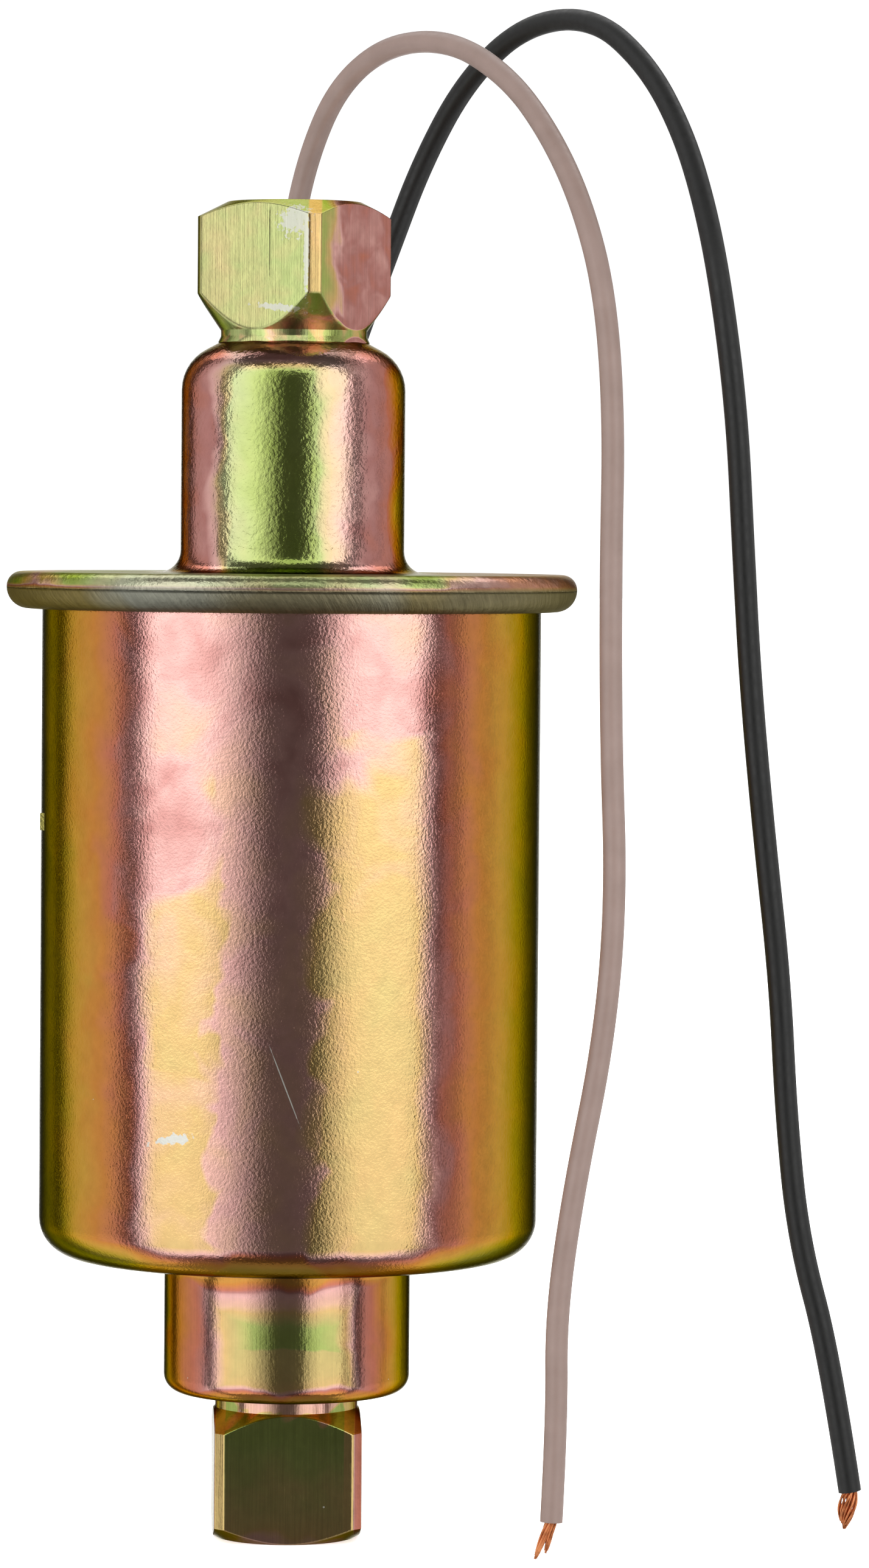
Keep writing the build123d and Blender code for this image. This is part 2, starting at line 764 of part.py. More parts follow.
with BuildPart() as foot_valve_disc:
    revolve(ring(0, foot_disc_radius, foot_disc_bottom, foot_disc_top), axis=Axis.Z)
save(foot_valve_disc, "foot_valve_disc")

with BuildPart() as foot_valve_cage:
    revolve(
        outline(
            (tube_bore - cage_wall, seat_top, 0),
            (tube_bore, seat_top, 0),
            (tube_bore, cage_end, 0),
            (0, cage_end, 0),
            (0, cage_ceiling, 0),
            (tube_bore - cage_wall, cage_ceiling, 0),
        ),
        axis=Axis.Z,
    )
    with Locations((0, 0, cage_ceiling + cage_top / 2)):
        with PolarLocations(cage_hole_circle_radius, cage_holes):
            Cylinder(cage_hole, cage_top, mode=Mode.SUBTRACT)
save(foot_valve_cage, "foot_valve_cage")

foot_valve_spring = coil_spring(
    foot_disc_top, foot_spring_length, foot_spring_radius, foot_spring_wire, foot_spring_turns
)
save(foot_valve_spring, "foot_valve_spring")

# Plunger: hollow steel plunger with the delivery valve's seat in its head
with BuildPart() as plunger:
    revolve(
        outline(
            (plunger_bore, plunger_bottom, 0),
            (plunger_radius, plunger_bottom, plunger_edge),
            (plunger_radius, plunger_top, plunger_edge),
            (head_radius, plunger_top, 0),
            (head_radius, head_floor, 0),
            (plunger_bore + seat_lip, head_floor, 0),
            (plunger_bore + seat_lip, head_floor + seat_lip_height, 0),
            (plunger_bore, head_floor + seat_lip_height, 0),
        ),
        axis=Axis.Z,
    )
save(plunger, "plunger")

plunger_spring = coil_spring(
    cage_end, plunger_spring_length, plunger_spring_radius, plunger_spring_wire, plunger_spring_turns
)
save(plunger_spring, "plunger_spring")

with BuildPart() as delivery_valve_disc:
    revolve(ring(0, delivery_disc_radius, delivery_disc_bottom, delivery_disc_top), axis=Axis.Z)
save(delivery_valve_disc, "delivery_valve_disc")

delivery_valve_spring = coil_spring(
    delivery_disc_top,
    delivery_spring_length,
    delivery_spring_radius,
    delivery_spring_wire,
    delivery_spring_turns,
)
save(delivery_valve_spring, "delivery_valve_spring")

# Valve ring: pressed in the plunger's head above the delivery valve
with BuildPart() as delivery_valve_ring:
    revolve(ring(ring_bore, head_radius, ring_bottom, ring_bottom + ring_thickness), axis=Axis.Z)
    with Locations((0, 0, ring_bottom + ring_thickness / 2)):
        with PolarLocations(ring_hole_circle_radius, ring_holes):
            Cylinder(ring_hole, ring_thickness, mode=Mode.SUBTRACT)
save(delivery_valve_ring, "delivery_valve_ring")

# Bumper and the cup that holds it in the tube
with BuildPart() as bumper:
    revolve(ring(bumper_inner, tube_bore - bumper_room, bumper_bottom, bumper_top), axis=Axis.Z)
save(bumper, "bumper")

with BuildPart() as bumper_cup:
    revolve(ring(bumper_cup_bore, tube_bore, bumper_top, bumper_top + bumper_cup_thickness), axis=Axis.Z)
save(bumper_cup, "bumper_cup")

# Filter: magnet on the cup's floor, support ring, mesh disc and gasket
with BuildPart() as filter_magnet:
    revolve(ring(magnet_inner, magnet_radius, cup_floor, magnet_top), axis=Axis.Z)
save(filter_magnet, "filter_magnet")

with BuildPart() as filter_ring:
    ring_inner = filter_ring_radius - filter_ring_wall
    revolve(ring(ring_inner, filter_ring_radius, cup_floor, filter_mesh_bottom), axis=Axis.Z)
save(filter_ring, "filter_ring")

with BuildPart() as filter_mesh:
    revolve(ring(0, cup_inner, filter_mesh_bottom, filter_mesh_top), axis=Axis.Z)
    with BuildSketch(Plane.XY.offset(filter_mesh_bottom)):
        with GridLocations(filter_mesh_pitch, filter_mesh_pitch, filter_mesh_rows, filter_mesh_rows):
            Circle(filter_mesh_hole)
    extrude(amount=filter_mesh_thickness, mode=Mode.SUBTRACT)
save(filter_mesh, "filter_mesh")

with BuildPart() as filter_gasket:
    gasket_bore = cup_inner - filter_ring_wall
    revolve(ring(gasket_bore, cup_inner, filter_mesh_top, filter_gasket_top), axis=Axis.Z)
save(filter_gasket, "filter_gasket")
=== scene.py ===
import math

import bmesh
import bpy
from mathutils import Matrix, Vector


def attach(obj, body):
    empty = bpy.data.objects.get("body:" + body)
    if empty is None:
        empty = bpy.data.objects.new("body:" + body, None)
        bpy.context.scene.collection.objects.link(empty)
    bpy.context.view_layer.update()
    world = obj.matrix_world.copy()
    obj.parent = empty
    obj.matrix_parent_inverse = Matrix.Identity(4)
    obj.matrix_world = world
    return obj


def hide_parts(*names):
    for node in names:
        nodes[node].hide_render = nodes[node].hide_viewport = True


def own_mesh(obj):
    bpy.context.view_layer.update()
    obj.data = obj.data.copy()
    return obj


# In-line electric fuel pump, dressed for the photograph: upright, held by its can, with both
# leads hanging beside it. Everything is in metres, in the frame of the solids.
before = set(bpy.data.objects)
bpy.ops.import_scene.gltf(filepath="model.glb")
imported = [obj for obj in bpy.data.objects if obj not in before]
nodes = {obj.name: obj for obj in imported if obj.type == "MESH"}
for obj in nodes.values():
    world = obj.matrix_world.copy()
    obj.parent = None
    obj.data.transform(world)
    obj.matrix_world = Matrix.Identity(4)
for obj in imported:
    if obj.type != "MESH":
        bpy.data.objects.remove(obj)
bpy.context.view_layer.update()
scene = bpy.context.scene

# Camera. The photograph is taken from the front with a long lens, level with a plane a little
# above the cover's rim, and the pump leans half a degree in it.
mm = 0.001
looks_down, leans = math.radians(2.31), math.radians(-0.47)
camera = bpy.data.objects.new("camera", bpy.data.cameras.new("camera"))
camera.data.sensor_width = 36
camera.data.lens = 148.4
camera.data.clip_start = 0.05
camera.data.clip_end = 20
camera.location = (15.35 * mm, -700 * mm, 44.5 * mm)
camera.rotation_euler = (math.radians(90) - looks_down, leans, 0)
scene.collection.objects.link(camera)
scene.camera = camera


# Leads. Two 2.4 mm automotive wires leave the cover behind the dome, arch over the outlet and
# hang to the right. Their vinyl insulation is extruded, so it has a soft satin skin, faintly
# mottled, and is cut square where the bare strands stick out.
def linear(code):
    """A colour from its sRGB hex code, as the linear values that Blender takes."""
    levels = [int(code[i:i + 2], 16) / 255 for i in (1, 3, 5)]
    return [v / 12.92 if v <= 0.04045 else ((v + 0.055) / 1.055) ** 2.4 for v in levels] + [1.0]


def feed(tree, node, inputs):
    """Sets or links a node's inputs: a list of the first ones, or a dictionary by name or number. A
    node given as a value stands for its first output. A Mix node takes values at its inputs 2 and 3,
    and colours at 6 and 7, which come out at its output 2."""
    for key, value in inputs.items() if isinstance(inputs, dict) else enumerate(inputs):
        if isinstance(value, bpy.types.Node):
            value = value.outputs[0]
        if isinstance(value, bpy.types.NodeSocket):
            tree.links.new(value, node.inputs[key])
        else:
            node.inputs[key].default_value = value


def add(tree, kind, inputs=(), **settings):
    """Adds a node with its settings and its inputs."""
    node = tree.nodes.new(kind)
    for name, value in settings.items():
        setattr(node, name, value)
    feed(tree, node, inputs)
    return node


def new_finish(name):
    """An empty material and its tree, with a shader and the object coordinates in millimetres."""
    material = bpy.data.materials.new(name)
    material.use_nodes = True
    tree = material.node_tree
    shader = tree.nodes["Principled BSDF"]
    place = add(tree, "ShaderNodeTexCoord").outputs["Object"]
    place = add(tree, "ShaderNodeMapping", {"Vector": place, "Scale": [1 / mm] * 3})
    return material, tree, shader, place


def vinyl(name, colour, shade, gloss):
    """Extruded vinyl: satin, mottled in patches of 3 mm, with finer handling marks in its gloss and
    a grain of 0.25 mm in its skin."""
    material, tree, shader, place = new_finish(name)
    mottle = add(tree, "ShaderNodeTexNoise", {"Vector": place, "Scale": 0.35, "Detail": 4})
    tint = add(tree, "ShaderNodeMix", {"Factor": mottle, 6: linear(shade), 7: linear(colour)}, data_type="RGBA")
    marks = add(tree, "ShaderNodeTexNoise", {"Vector": place, "Scale": 1.2, "Detail": 3})
    rough = add(tree, "ShaderNodeMapRange", [marks, 0.3, 0.7, gloss - 0.06, gloss + 0.08])
    skin = add(tree, "ShaderNodeTexNoise", {"Vector": place, "Scale": 4.0, "Detail": 2})
    bump = add(tree, "ShaderNodeBump", {"Strength": 0.25, "Distance": 0.03 * mm, "Height": skin})
    feed(tree, shader, {"Base Color": tint.outputs[2], "Roughness": rough, "Normal": bump, "IOR": 1.54})
    return material


lead_radius = 1.2 * mm
grommet_place = Vector((-1.15, 20.3, 39.0))


def wire(name, route, finish):
    """A lead as one smooth curve. Its points are the solid's, from the grommet's middle."""
    curve = bpy.data.curves.new(name, "CURVE")
    curve.dimensions = "3D"
    curve.bevel_depth = lead_radius
    curve.bevel_resolution = 6
    curve.use_fill_caps = True
    spline = curve.splines.new("NURBS")
    spline.points.add(len(route) - 1)
    for point, place in zip(spline.points, route):
        point.co = (*((grommet_place + Vector(place)) * mm), 1)
    spline.order_u = 3
    spline.use_endpoint_u = True
    spline.resolution_u = 10
    piece = bpy.data.objects.new(name, curve)
    scene.collection.objects.link(piece)
    curve.materials.append(finish)
    return piece


gray_route = [
    (-2.05, 0.0, -2.2), (-2.05, 0.0, 6.8), (-1.9, 0.6, 16.8), (-1.1, 1.2, 26.8), (0.2, 1.6, 36.8),
    (2.0, 1.4, 45.9), (5.4, -1.6, 53.8), (11.0, -7.5, 58.1), (18.1, -14.8, 58.0), (24.3, -23.1, 53.3),
    (28.6, -31.0, 46.7), (31.8, -38.2, 39.1), (34.1, -43.6, 29.8), (35.1, -46.4, 16.8),
    (34.9, -46.7, 0.8), (35.1, -46.4, -17.2), (35.8, -46.2, -33.2), (34.7, -46.6, -48.2),
    (31.6, -46.8, -64.2), (29.9, -46.4, -77.2), (30.1, -46.2, -88.2), (29.6, -46.4, -99.0),
]
black_route = [
    (2.05, 0.0, -2.2), (2.1, 0.0, 6.0), (4.3, 0.8, 15.8), (7.6, 1.4, 25.8), (11.2, 1.8, 35.8),
    (14.8, 1.4, 45.6), (19.6, -2.4, 54.5), (26.0, -8.8, 60.3), (33.4, -16.0, 60.6), (39.0, -23.0, 54.9),
    (42.6, -29.8, 47.4), (44.8, -36.8, 39.1), (46.4, -42.2, 29.8), (48.0, -44.8, 16.8),
    (48.8, -44.7, 2.8), (49.7, -44.4, -11.2), (51.3, -44.6, -27.2), (53.1, -44.4, -42.2),
    (53.9, -44.2, -56.2), (55.3, -44.4, -69.2), (58.7, -44.6, -81.4), (61.0, -44.4, -95.8),
]
gray_wire = wire("gray_wire", gray_route, vinyl("gray_vinyl_insulation", "#7c6962", "#6c5951", 0.42))
black_wire = wire("black_wire", black_route, vinyl("black_vinyl_insulation", "#070807", "#040504", 0.48))


# Bare copper. Each lead ends in a bundle of fine copper strands, still twisted where they leave
# the insulation and splayed at their cut tips. Bright drawn copper, tarnished a little.
def new_growth(name, sockets):
    """An empty geometry tree with named inputs, and what comes in through them: the starting mesh,
    then the inputs by name."""
    tree = bpy.data.node_groups.new(name, "GeometryNodeTree")
    tree.interface.new_socket("Geometry", in_out="INPUT", socket_type="NodeSocketGeometry")
    tree.interface.new_socket("Geometry", in_out="OUTPUT", socket_type="NodeSocketGeometry")
    for label, kind in sockets.items():
        tree.interface.new_socket(label, in_out="INPUT", socket_type="NodeSocket" + kind)
    return tree, add(tree, "NodeGroupInput").outputs


def finish_growth(tree, geometry, finish):
    """Ends a geometry tree: everything made real, and of one finish."""
    real = add(tree, "GeometryNodeRealizeInstances", [geometry])
    painted = add(tree, "GeometryNodeSetMaterial", {"Geometry": real, "Material": finish})
    add(tree, "NodeGroupOutput", [painted])


def grow(name, tree, start, values):
    """Runs a geometry tree on a starting mesh and keeps the result as a plain mesh object, with
    its faces pointing outwards."""
    seed = bpy.data.objects.new(name + "_start", start)
    scene.collection.objects.link(seed)
    modifier = seed.modifiers.new("growth", "NODES")
    modifier.node_group = tree
    for item in tree.interface.items_tree:
        if item.in_out == "INPUT" and item.name in values:
            modifier[item.identifier] = values[item.name]
    evaluated = seed.evaluated_get(bpy.context.evaluated_depsgraph_get())
    mesh = bpy.data.meshes.new_from_object(evaluated)
    mesh.name = name
    bpy.data.objects.remove(seed)
    bpy.data.meshes.remove(start)
    work = bmesh.new()
    work.from_mesh(mesh)
    bmesh.ops.recalc_face_normals(work, faces=work.faces)
    work.to_mesh(mesh)
    work.free()
    piece = bpy.data.objects.new(name, mesh)
    scene.collection.objects.link(piece)
    return piece


def strand_tree():
    """Strands: lines along X, laid side by side in a bundle, twisted, bulging and drawn to a point."""
    tree, given = new_growth("copper_strands", {
        "Strands": "Int", "Strand Radius": "Float", "Bundle Radius": "Float", "Length": "Float",
        "Twist": "Float", "Bulge": "Float", "Taper": "Float", "Seed": "Int", "Finish": "Material"})
    line = add(tree, "GeometryNodeCurvePrimitiveLine", {"Start": (0, 0, 0), "End": (1, 0, 0)})
    line = add(tree, "GeometryNodeResampleCurve", {"Curve": line, "Count": 14}, mode="COUNT")
    # The strands' places across the bundle: each a golden angle on from the last, evenly spread
    golden_angle = 2.39996
    points = add(tree, "GeometryNodePoints", {"Count": given["Strands"]})
    number = add(tree, "GeometryNodeInputIndex")
    turn = add(tree, "ShaderNodeMath", [number, golden_angle], operation="MULTIPLY")
    share = add(tree, "ShaderNodeMath", [number, given["Strands"]], operation="DIVIDE")
    share = add(tree, "ShaderNodeMath", [share], operation="SQRT")
    radial = add(tree, "ShaderNodeMath", [share, given["Bundle Radius"]], operation="MULTIPLY")
    cosine = add(tree, "ShaderNodeMath", [turn], operation="COSINE")
    sine = add(tree, "ShaderNodeMath", [turn], operation="SINE")
    across = add(tree, "ShaderNodeMath", [cosine, radial], operation="MULTIPLY")
    upward = add(tree, "ShaderNodeMath", [sine, radial], operation="MULTIPLY")
    spread = add(tree, "ShaderNodeCombineXYZ", {"Y": across, "Z": upward})
    points = add(tree, "GeometryNodeSetPosition", {"Geometry": points, "Position": spread})
    # The ends are cut unevenly, at 0.8 to 1 of the length
    reach = add(tree, "FunctionNodeRandomValue", {2: 0.8, 3: 1.0, "Seed": given["Seed"]}).outputs[1]
    reach = add(tree, "ShaderNodeMath", [reach, given["Length"]], operation="MULTIPLY")
    size = add(tree, "ShaderNodeCombineXYZ", {"X": reach, "Y": 1.0, "Z": 1.0})
    lines = add(tree, "GeometryNodeInstanceOnPoints", {"Points": points, "Instance": line, "Scale": size})
    lines = add(tree, "GeometryNodeRealizeInstances", [lines])
    # Along its length the bundle twists, bulges in the middle and closes towards its tip
    place = add(tree, "GeometryNodeInputPosition")
    parts = add(tree, "ShaderNodeSeparateXYZ", [place]).outputs
    along = add(tree, "ShaderNodeMath", [parts["X"], given["Length"]], operation="DIVIDE")
    angle = add(tree, "ShaderNodeMath", [along, given["Twist"]], operation="MULTIPLY")
    turned = add(tree, "ShaderNodeVectorRotate", {"Vector": place, "Angle": angle}, rotation_type="X_AXIS")
    arch = add(tree, "ShaderNodeMath", [along, math.pi], operation="MULTIPLY")
    arch = add(tree, "ShaderNodeMath", [arch], operation="SINE")
    arch = add(tree, "ShaderNodeMath", [arch, given["Bulge"], 1.0], operation="MULTIPLY_ADD")
    point = add(tree, "ShaderNodeMath", [along, 2.0], operation="POWER")
    point = add(tree, "ShaderNodeMath", [point, given["Taper"]], operation="MULTIPLY")
    open_up = add(tree, "ShaderNodeMath", [arch, point], operation="SUBTRACT")
    wider = add(tree, "ShaderNodeCombineXYZ", {"X": 1.0, "Y": open_up, "Z": open_up})
    spot = add(tree, "ShaderNodeVectorMath", [turned, wider], operation="MULTIPLY")
    lines = add(tree, "GeometryNodeSetPosition", {"Geometry": lines, "Position": spot})
    circle = add(tree, "GeometryNodeCurvePrimitiveCircle", {"Resolution": 8, "Radius": given["Strand Radius"]})
    tubes = add(tree, "GeometryNodeCurveToMesh", {"Curve": lines, "Profile Curve": circle, "Fill Caps": True})
    smooth = add(tree, "GeometryNodeSetShadeSmooth", [tubes])
    finish_growth(tree, smooth, given["Finish"])
    return tree


def fill_ramp(ramp, stops):
    """Gives a colour ramp its stops of position and colour."""
    for position, _ in stops[1:-1]:
        ramp.color_ramp.elements.new(position)
    for element, (position, colour) in zip(ramp.color_ramp.elements, stops):
        element.position, element.color = position, colour


def drawn_copper():
    """Bare drawn copper: bright orange metal, with darker tarnish in patches of a millimetre."""
    material, tree, shader, place = new_finish("bare_drawn_copper")
    tarnish = add(tree, "ShaderNodeTexNoise", {"Vector": place, "Scale": 0.9, "Detail": 4})
    shades = add(tree, "ShaderNodeValToRGB", {"Fac": tarnish})
    fill_ramp(shades, ((0.35, linear("#9c5530")), (0.6, linear("#f2a06c"))))
    draw = add(tree, "ShaderNodeTexNoise", {"Vector": place, "Scale": 12.0})
    rough = add(tree, "ShaderNodeMapRange", {0: draw, 3: 0.2, 4: 0.42})
    feed(tree, shader, {"Base Color": shades, "Roughness": rough, "Metallic": 1.0})
    return material


copper = drawn_copper()
strands = strand_tree()
rooted = 0.5  # how far each bundle reaches into the insulation, in mm
bundles = (
    # lead, start of the bundle off the lead's end, lean, length, strands, radius, bulge, taper, seed
    ("gray", (-0.1, 0, 0), (-1.45, -0.1, -4.1), 4.7, 11, 0.36, 0.15, 0.8, 3),
    ("gray", (0.4, 0, 0), (-0.95, -0.2, -3.4), 3.9, 7, 0.28, 0.15, 0.75, 5),
    ("black", (0.15, 0, 0), (-0.6, -0.1, -4.0), 4.5, 19, 0.55, 0.95, 0.9, 8),
)
# Each lead with its route and its length in mm
leads = {"gray": (gray_wire, gray_route, 250.1), "black": (black_wire, black_route, 251.0)}
wisps = {"gray": [], "black": []}
for colour, start, lean, reach, count, radius, bulge, taper, seed in bundles:
    values = {"Strands": count, "Strand Radius": 0.12 * mm, "Bundle Radius": radius * mm, "Length": reach * mm,
              "Twist": 1.6, "Bulge": bulge, "Taper": taper, "Seed": seed, "Finish": copper}
    name = colour + "_copper" + ("_side" if wisps[colour] else "")
    piece = grow(name, strands, bpy.data.meshes.new(name + "_start"), values)
    route = leads[colour][1]
    heading = (Vector(route[-1]) - Vector(route[-2])).normalized()
    place_at = (grommet_place + Vector(route[-1]) + Vector(start) - heading * rooted) * mm
    piece.data.transform(Vector(lean).to_track_quat("X", "Y").to_matrix().to_4x4())
    piece.data.transform(Matrix.Translation(place_at))
    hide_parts(colour + "_strands")
    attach(piece, "housing")
    wisps[colour].append(piece)
for colour, (lead, route, length) in leads.items():
    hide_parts(colour + "_lead")
    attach(lead, "housing")


# Can. Deep drawn steel, open at the top, where a flange is turned out. It is zinc plated with a yellow chromate film,
# thin enough to show interference colours: rose where it is even, and pale gold in soft-edged maps where it is thicker.
# Towards the left and right sides the film is taken thinner, orange to olive: a painted sheen, the film's colour at a
# grazing view.
weld = 0.001 * mm  # vertices closer than this are one


def turned_tree():
    """Spins an outline, a row of vertices in the XZ plane, round the Z axis into a closed skin."""
    tree, given = new_growth("turned_outline", {"Segments": "Int"})
    rows = add(tree, "GeometryNodeAttributeDomainSize", {"Geometry": given[0]}).outputs["Point Count"]
    columns = add(tree, "ShaderNodeMath", [given["Segments"], 1.0])
    grid = add(tree, "GeometryNodeMeshGrid", {"Vertices X": columns, "Vertices Y": rows}).outputs["Mesh"]
    number = add(tree, "GeometryNodeInputIndex")
    row = add(tree, "ShaderNodeMath", [number, rows], operation="MODULO")
    column = add(tree, "ShaderNodeMath", [number, rows], operation="DIVIDE")
    column = add(tree, "ShaderNodeMath", [column], operation="FLOOR")
    place = add(tree, "GeometryNodeInputPosition")
    corner = add(tree, "GeometryNodeSampleIndex", {"Geometry": given[0], "Value": place, "Index": row},
                 data_type="FLOAT_VECTOR")
    share = add(tree, "ShaderNodeMath", [column, given["Segments"]], operation="DIVIDE")
    angle = add(tree, "ShaderNodeMath", [share, 2 * math.pi], operation="MULTIPLY")
    turned = add(tree, "ShaderNodeVectorRotate", {"Vector": corner, "Angle": angle}, rotation_type="Z_AXIS")
    skin = add(tree, "GeometryNodeSetPosition", {"Geometry": grid, "Position": turned})
    closed = add(tree, "GeometryNodeMergeByDistance", {"Geometry": skin, "Distance": weld})
    smooth = add(tree, "GeometryNodeSetShadeSmooth", [closed])
    add(tree, "NodeGroupOutput", [smooth])
    return tree


turned = turned_tree()


def outline(corners):
    """A closed outline from (radius, height, rounding) of its corners, in millimetres, with a
    fourth number where the run to the next corner is cut into rows of that height. Arcs are cut
    every few degrees, with a point beyond each end so that flat runs shade flat."""
    step, support, least = 9.0, 0.2, 0.08  # degrees of arc, point beyond an arc, smallest rounding
    straight, touching = 0.02, 0.49  # turn that needs no arc, share of a run that an arc may take
    points, cut_runs = [], []
    for i, (x, z, rounding, *rows) in enumerate(corners):
        here = Vector((x, z))
        to_last = Vector(corners[i - 1][:2]) - here
        to_next = Vector(corners[(i + 1) % len(corners)][:2]) - here
        turn = math.pi - to_last.angle(to_next)
        if turn < straight:
            points.append(here)
        else:
            room = min(to_last.length, to_next.length) * touching
            rounding = max(rounding, min(least, room / math.tan(turn / 2)))
            reach = rounding * math.tan(turn / 2)
            inward = (to_last.normalized() + to_next.normalized()).normalized()
            middle = here + inward * rounding / math.cos(turn / 2)
            first, last = here + to_last.normalized() * reach, here + to_next.normalized() * reach
            if to_last.length > 2 * (reach + support):
                points.append(here + to_last.normalized() * (reach + support))
            cuts = max(3, math.ceil(math.degrees(turn) / step))
            sign = 1 if (first - middle).cross(last - middle) > 0 else -1
            for k in range(cuts + 1):
                spin, arm = sign * turn * k / cuts, first - middle
                points.append(middle + Vector((arm.x * math.cos(spin) - arm.y * math.sin(spin),
                                               arm.x * math.sin(spin) + arm.y * math.cos(spin))))
            if to_next.length > 2 * (reach + support):
                points.append(here + to_next.normalized() * (reach + support))
        if rows:
            cut_runs.append((len(points) - 1, rows[0]))
    points.append(points[0])
    for at, height in reversed(cut_runs):
        run = points[at + 1] - points[at]
        cuts = math.ceil(run.length / height)
        points[at + 1:at + 1] = [points[at] + run * k / cuts for k in range(1, cuts)]
    mesh = bpy.data.meshes.new("outline")
    edges = [(k, k + 1) for k in range(len(points) - 1)]
    mesh.from_pydata([(p.x * mm, 0, p.y * mm) for p in points], edges, [])
    return mesh


def clouds(tree, place, patch, seed, drift=(0, 0, 0)):
    """A wandering value round 0.5 whose patches are of a size in mm, and which drifts upwards or
    downwards, so much a mm, along the piece."""
    moved = add(tree, "ShaderNodeMapping", {"Vector": place, "Location": seed})
    field = add(tree, "ShaderNodeTexNoise", {"Vector": moved, "Scale": 1 / patch, "Detail": 2.0, "Roughness": 0.45,
                                             "Distortion": 0.6})
    along = add(tree, "ShaderNodeVectorMath", [place, drift], operation="DOT_PRODUCT").outputs["Value"]
    return add(tree, "ShaderNodeMath", [field, along])


def worn_spot(tree, place, middle, size, lean=0.0, ragged=0.8, grain=0.6):
    """A rubbed or chipped spot, from 0 to 1, of a half size in mm along X, Y and Z, leaning round Y."""
    local = add(tree, "ShaderNodeMapping", {"Vector": place, "Location": middle, "Rotation": (0, lean, 0),
                                            "Scale": size}, vector_type="TEXTURE")
    far = add(tree, "ShaderNodeVectorMath", [local], operation="LENGTH").outputs["Value"]
    rough = add(tree, "ShaderNodeTexNoise", {"Vector": place, "Scale": 1 / grain, "Detail": 4})
    edge = add(tree, "ShaderNodeMath", [rough, ragged * 2, far], operation="MULTIPLY_ADD")
    return add(tree, "ShaderNodeMapRange", [edge, 1.0 + ragged, 0.8 + ragged])


# Colours of the chromate film from thin to thick, as the plated metal shows them
film_colours = (
    (0.00, "#8f8a4e"), (0.12, "#b39c42"), (0.24, "#cf9e4a"), (0.36, "#d08a46"), (0.47, "#c97a62"), (0.52, "#c08680"),
    (0.57, "#e6b2aa"), (0.64, "#e6ba98"), (0.70, "#dcb87c"), (0.80, "#ccba7a"), (0.90, "#aebb6c"), (1.00, "#93a94c"),
)


def run_through(tree, value, *stops):
    """A value that follows another one, straight between stops of the two."""
    start, span = stops[0][0], stops[-1][0] - stops[0][0]
    along = add(tree, "ShaderNodeMapRange", [value, start, start + span])
    ramp = add(tree, "ShaderNodeValToRGB", {"Fac": along})
    fill_ramp(ramp, [((at - start) / span, (level, level, level, 1)) for at, level in stops])
    return ramp


def tool_marks(tree, place, density):
    """Marks left by a tool or a die, from 0 to 1, so many a mm along X, Y and Z."""
    across = add(tree, "ShaderNodeMapping", {"Vector": place, "Scale": density})
    return add(tree, "ShaderNodeTexNoise", {"Vector": across, "Scale": 1.0, "Detail": 3, "Roughness": 0.7})


def chromate(tree, shader, place, film, seed, peel, depth, gloss, wear=None, wash=0.0, marks=None):
    """Finishes zinc plate with a yellow chromate film, from its thickness, 0 to 1. Peel and depth are the pitch and
    depth in mm of its orange peel, gloss the roughness, wear bared zinc, wash how far the colour is paled to grey, as a
    painted highlight and on the brushed rim, and marks a field of tool marks."""
    ramp = add(tree, "ShaderNodeValToRGB", {"Fac": film})
    fill_ramp(ramp, [(position, linear(code)) for position, code in film_colours])
    moved = add(tree, "ShaderNodeMapping", {"Vector": place, "Location": seed})
    # The wash pales the film's colour to grey: a painted highlight where it stands for a mirrored softbox
    colour = add(tree, "ShaderNodeMix", {0: wash, 6: ramp, 7: linear("#c4c5b4")}, data_type="RGBA").outputs[2]
    stain = add(tree, "ShaderNodeTexNoise", {"Vector": moved, "Scale": 0.7, "Detail": 5, "Roughness": 0.6})
    stain = add(tree, "ShaderNodeMapRange", [stain, 0.3, 0.7, 0.92, 1.04])
    height = add(tree, "ShaderNodeTexNoise", {"Vector": moved, "Scale": 1 / peel, "Detail": 2.0, "Roughness": 0.6})
    if marks:
        dull = add(tree, "ShaderNodeMapRange", [marks, 0.3, 0.7, 0.86, 1.08], clamp=False)
        dull = add(tree, "ShaderNodeMath", [dull, 0.1], operation="MAXIMUM")
        stain = add(tree, "ShaderNodeMath", [stain, dull], operation="MULTIPLY")
        height = add(tree, "ShaderNodeMath", [marks, 1.5, height], operation="MULTIPLY_ADD")
    colour = add(tree, "ShaderNodeMix", {0: 1.0, 6: colour, 7: stain}, data_type="RGBA",
                 blend_type="MULTIPLY").outputs[2]
    # Chips: pin-heads of bare zinc, where the film has been knocked off
    chips = add(tree, "ShaderNodeTexNoise", {"Vector": moved, "Scale": 1.1, "Detail": 1})
    chips = add(tree, "ShaderNodeMapRange", [chips, 0.83, 0.85])
    if wear:
        chips = add(tree, "ShaderNodeMath", [chips, wear], operation="MAXIMUM")
    colour = add(tree, "ShaderNodeMix", {0: chips, 6: colour, 7: linear("#dcdcd4")}, data_type="RGBA").outputs[2]
    haze = add(tree, "ShaderNodeTexNoise", {"Vector": moved, "Scale": 0.12, "Detail": 4})
    haze = add(tree, "ShaderNodeMapRange", [haze, 0.3, 0.7, -0.02, 0.03])
    haze = add(tree, "ShaderNodeMath", [haze, gloss])
    haze = add(tree, "ShaderNodeMath", [chips, 0.25, haze], operation="MULTIPLY_ADD")
    bump = add(tree, "ShaderNodeBump", {"Strength": 1.0, "Distance": depth * mm, "Height": height})
    feed(tree, shader, {"Base Color": colour, "Roughness": haze, "Normal": bump, "Metallic": 1.0,
                        "Specular Tint": linear("#858258")})


can_radius = 27.0
rose = 0.575  # the film's thickness where it is even


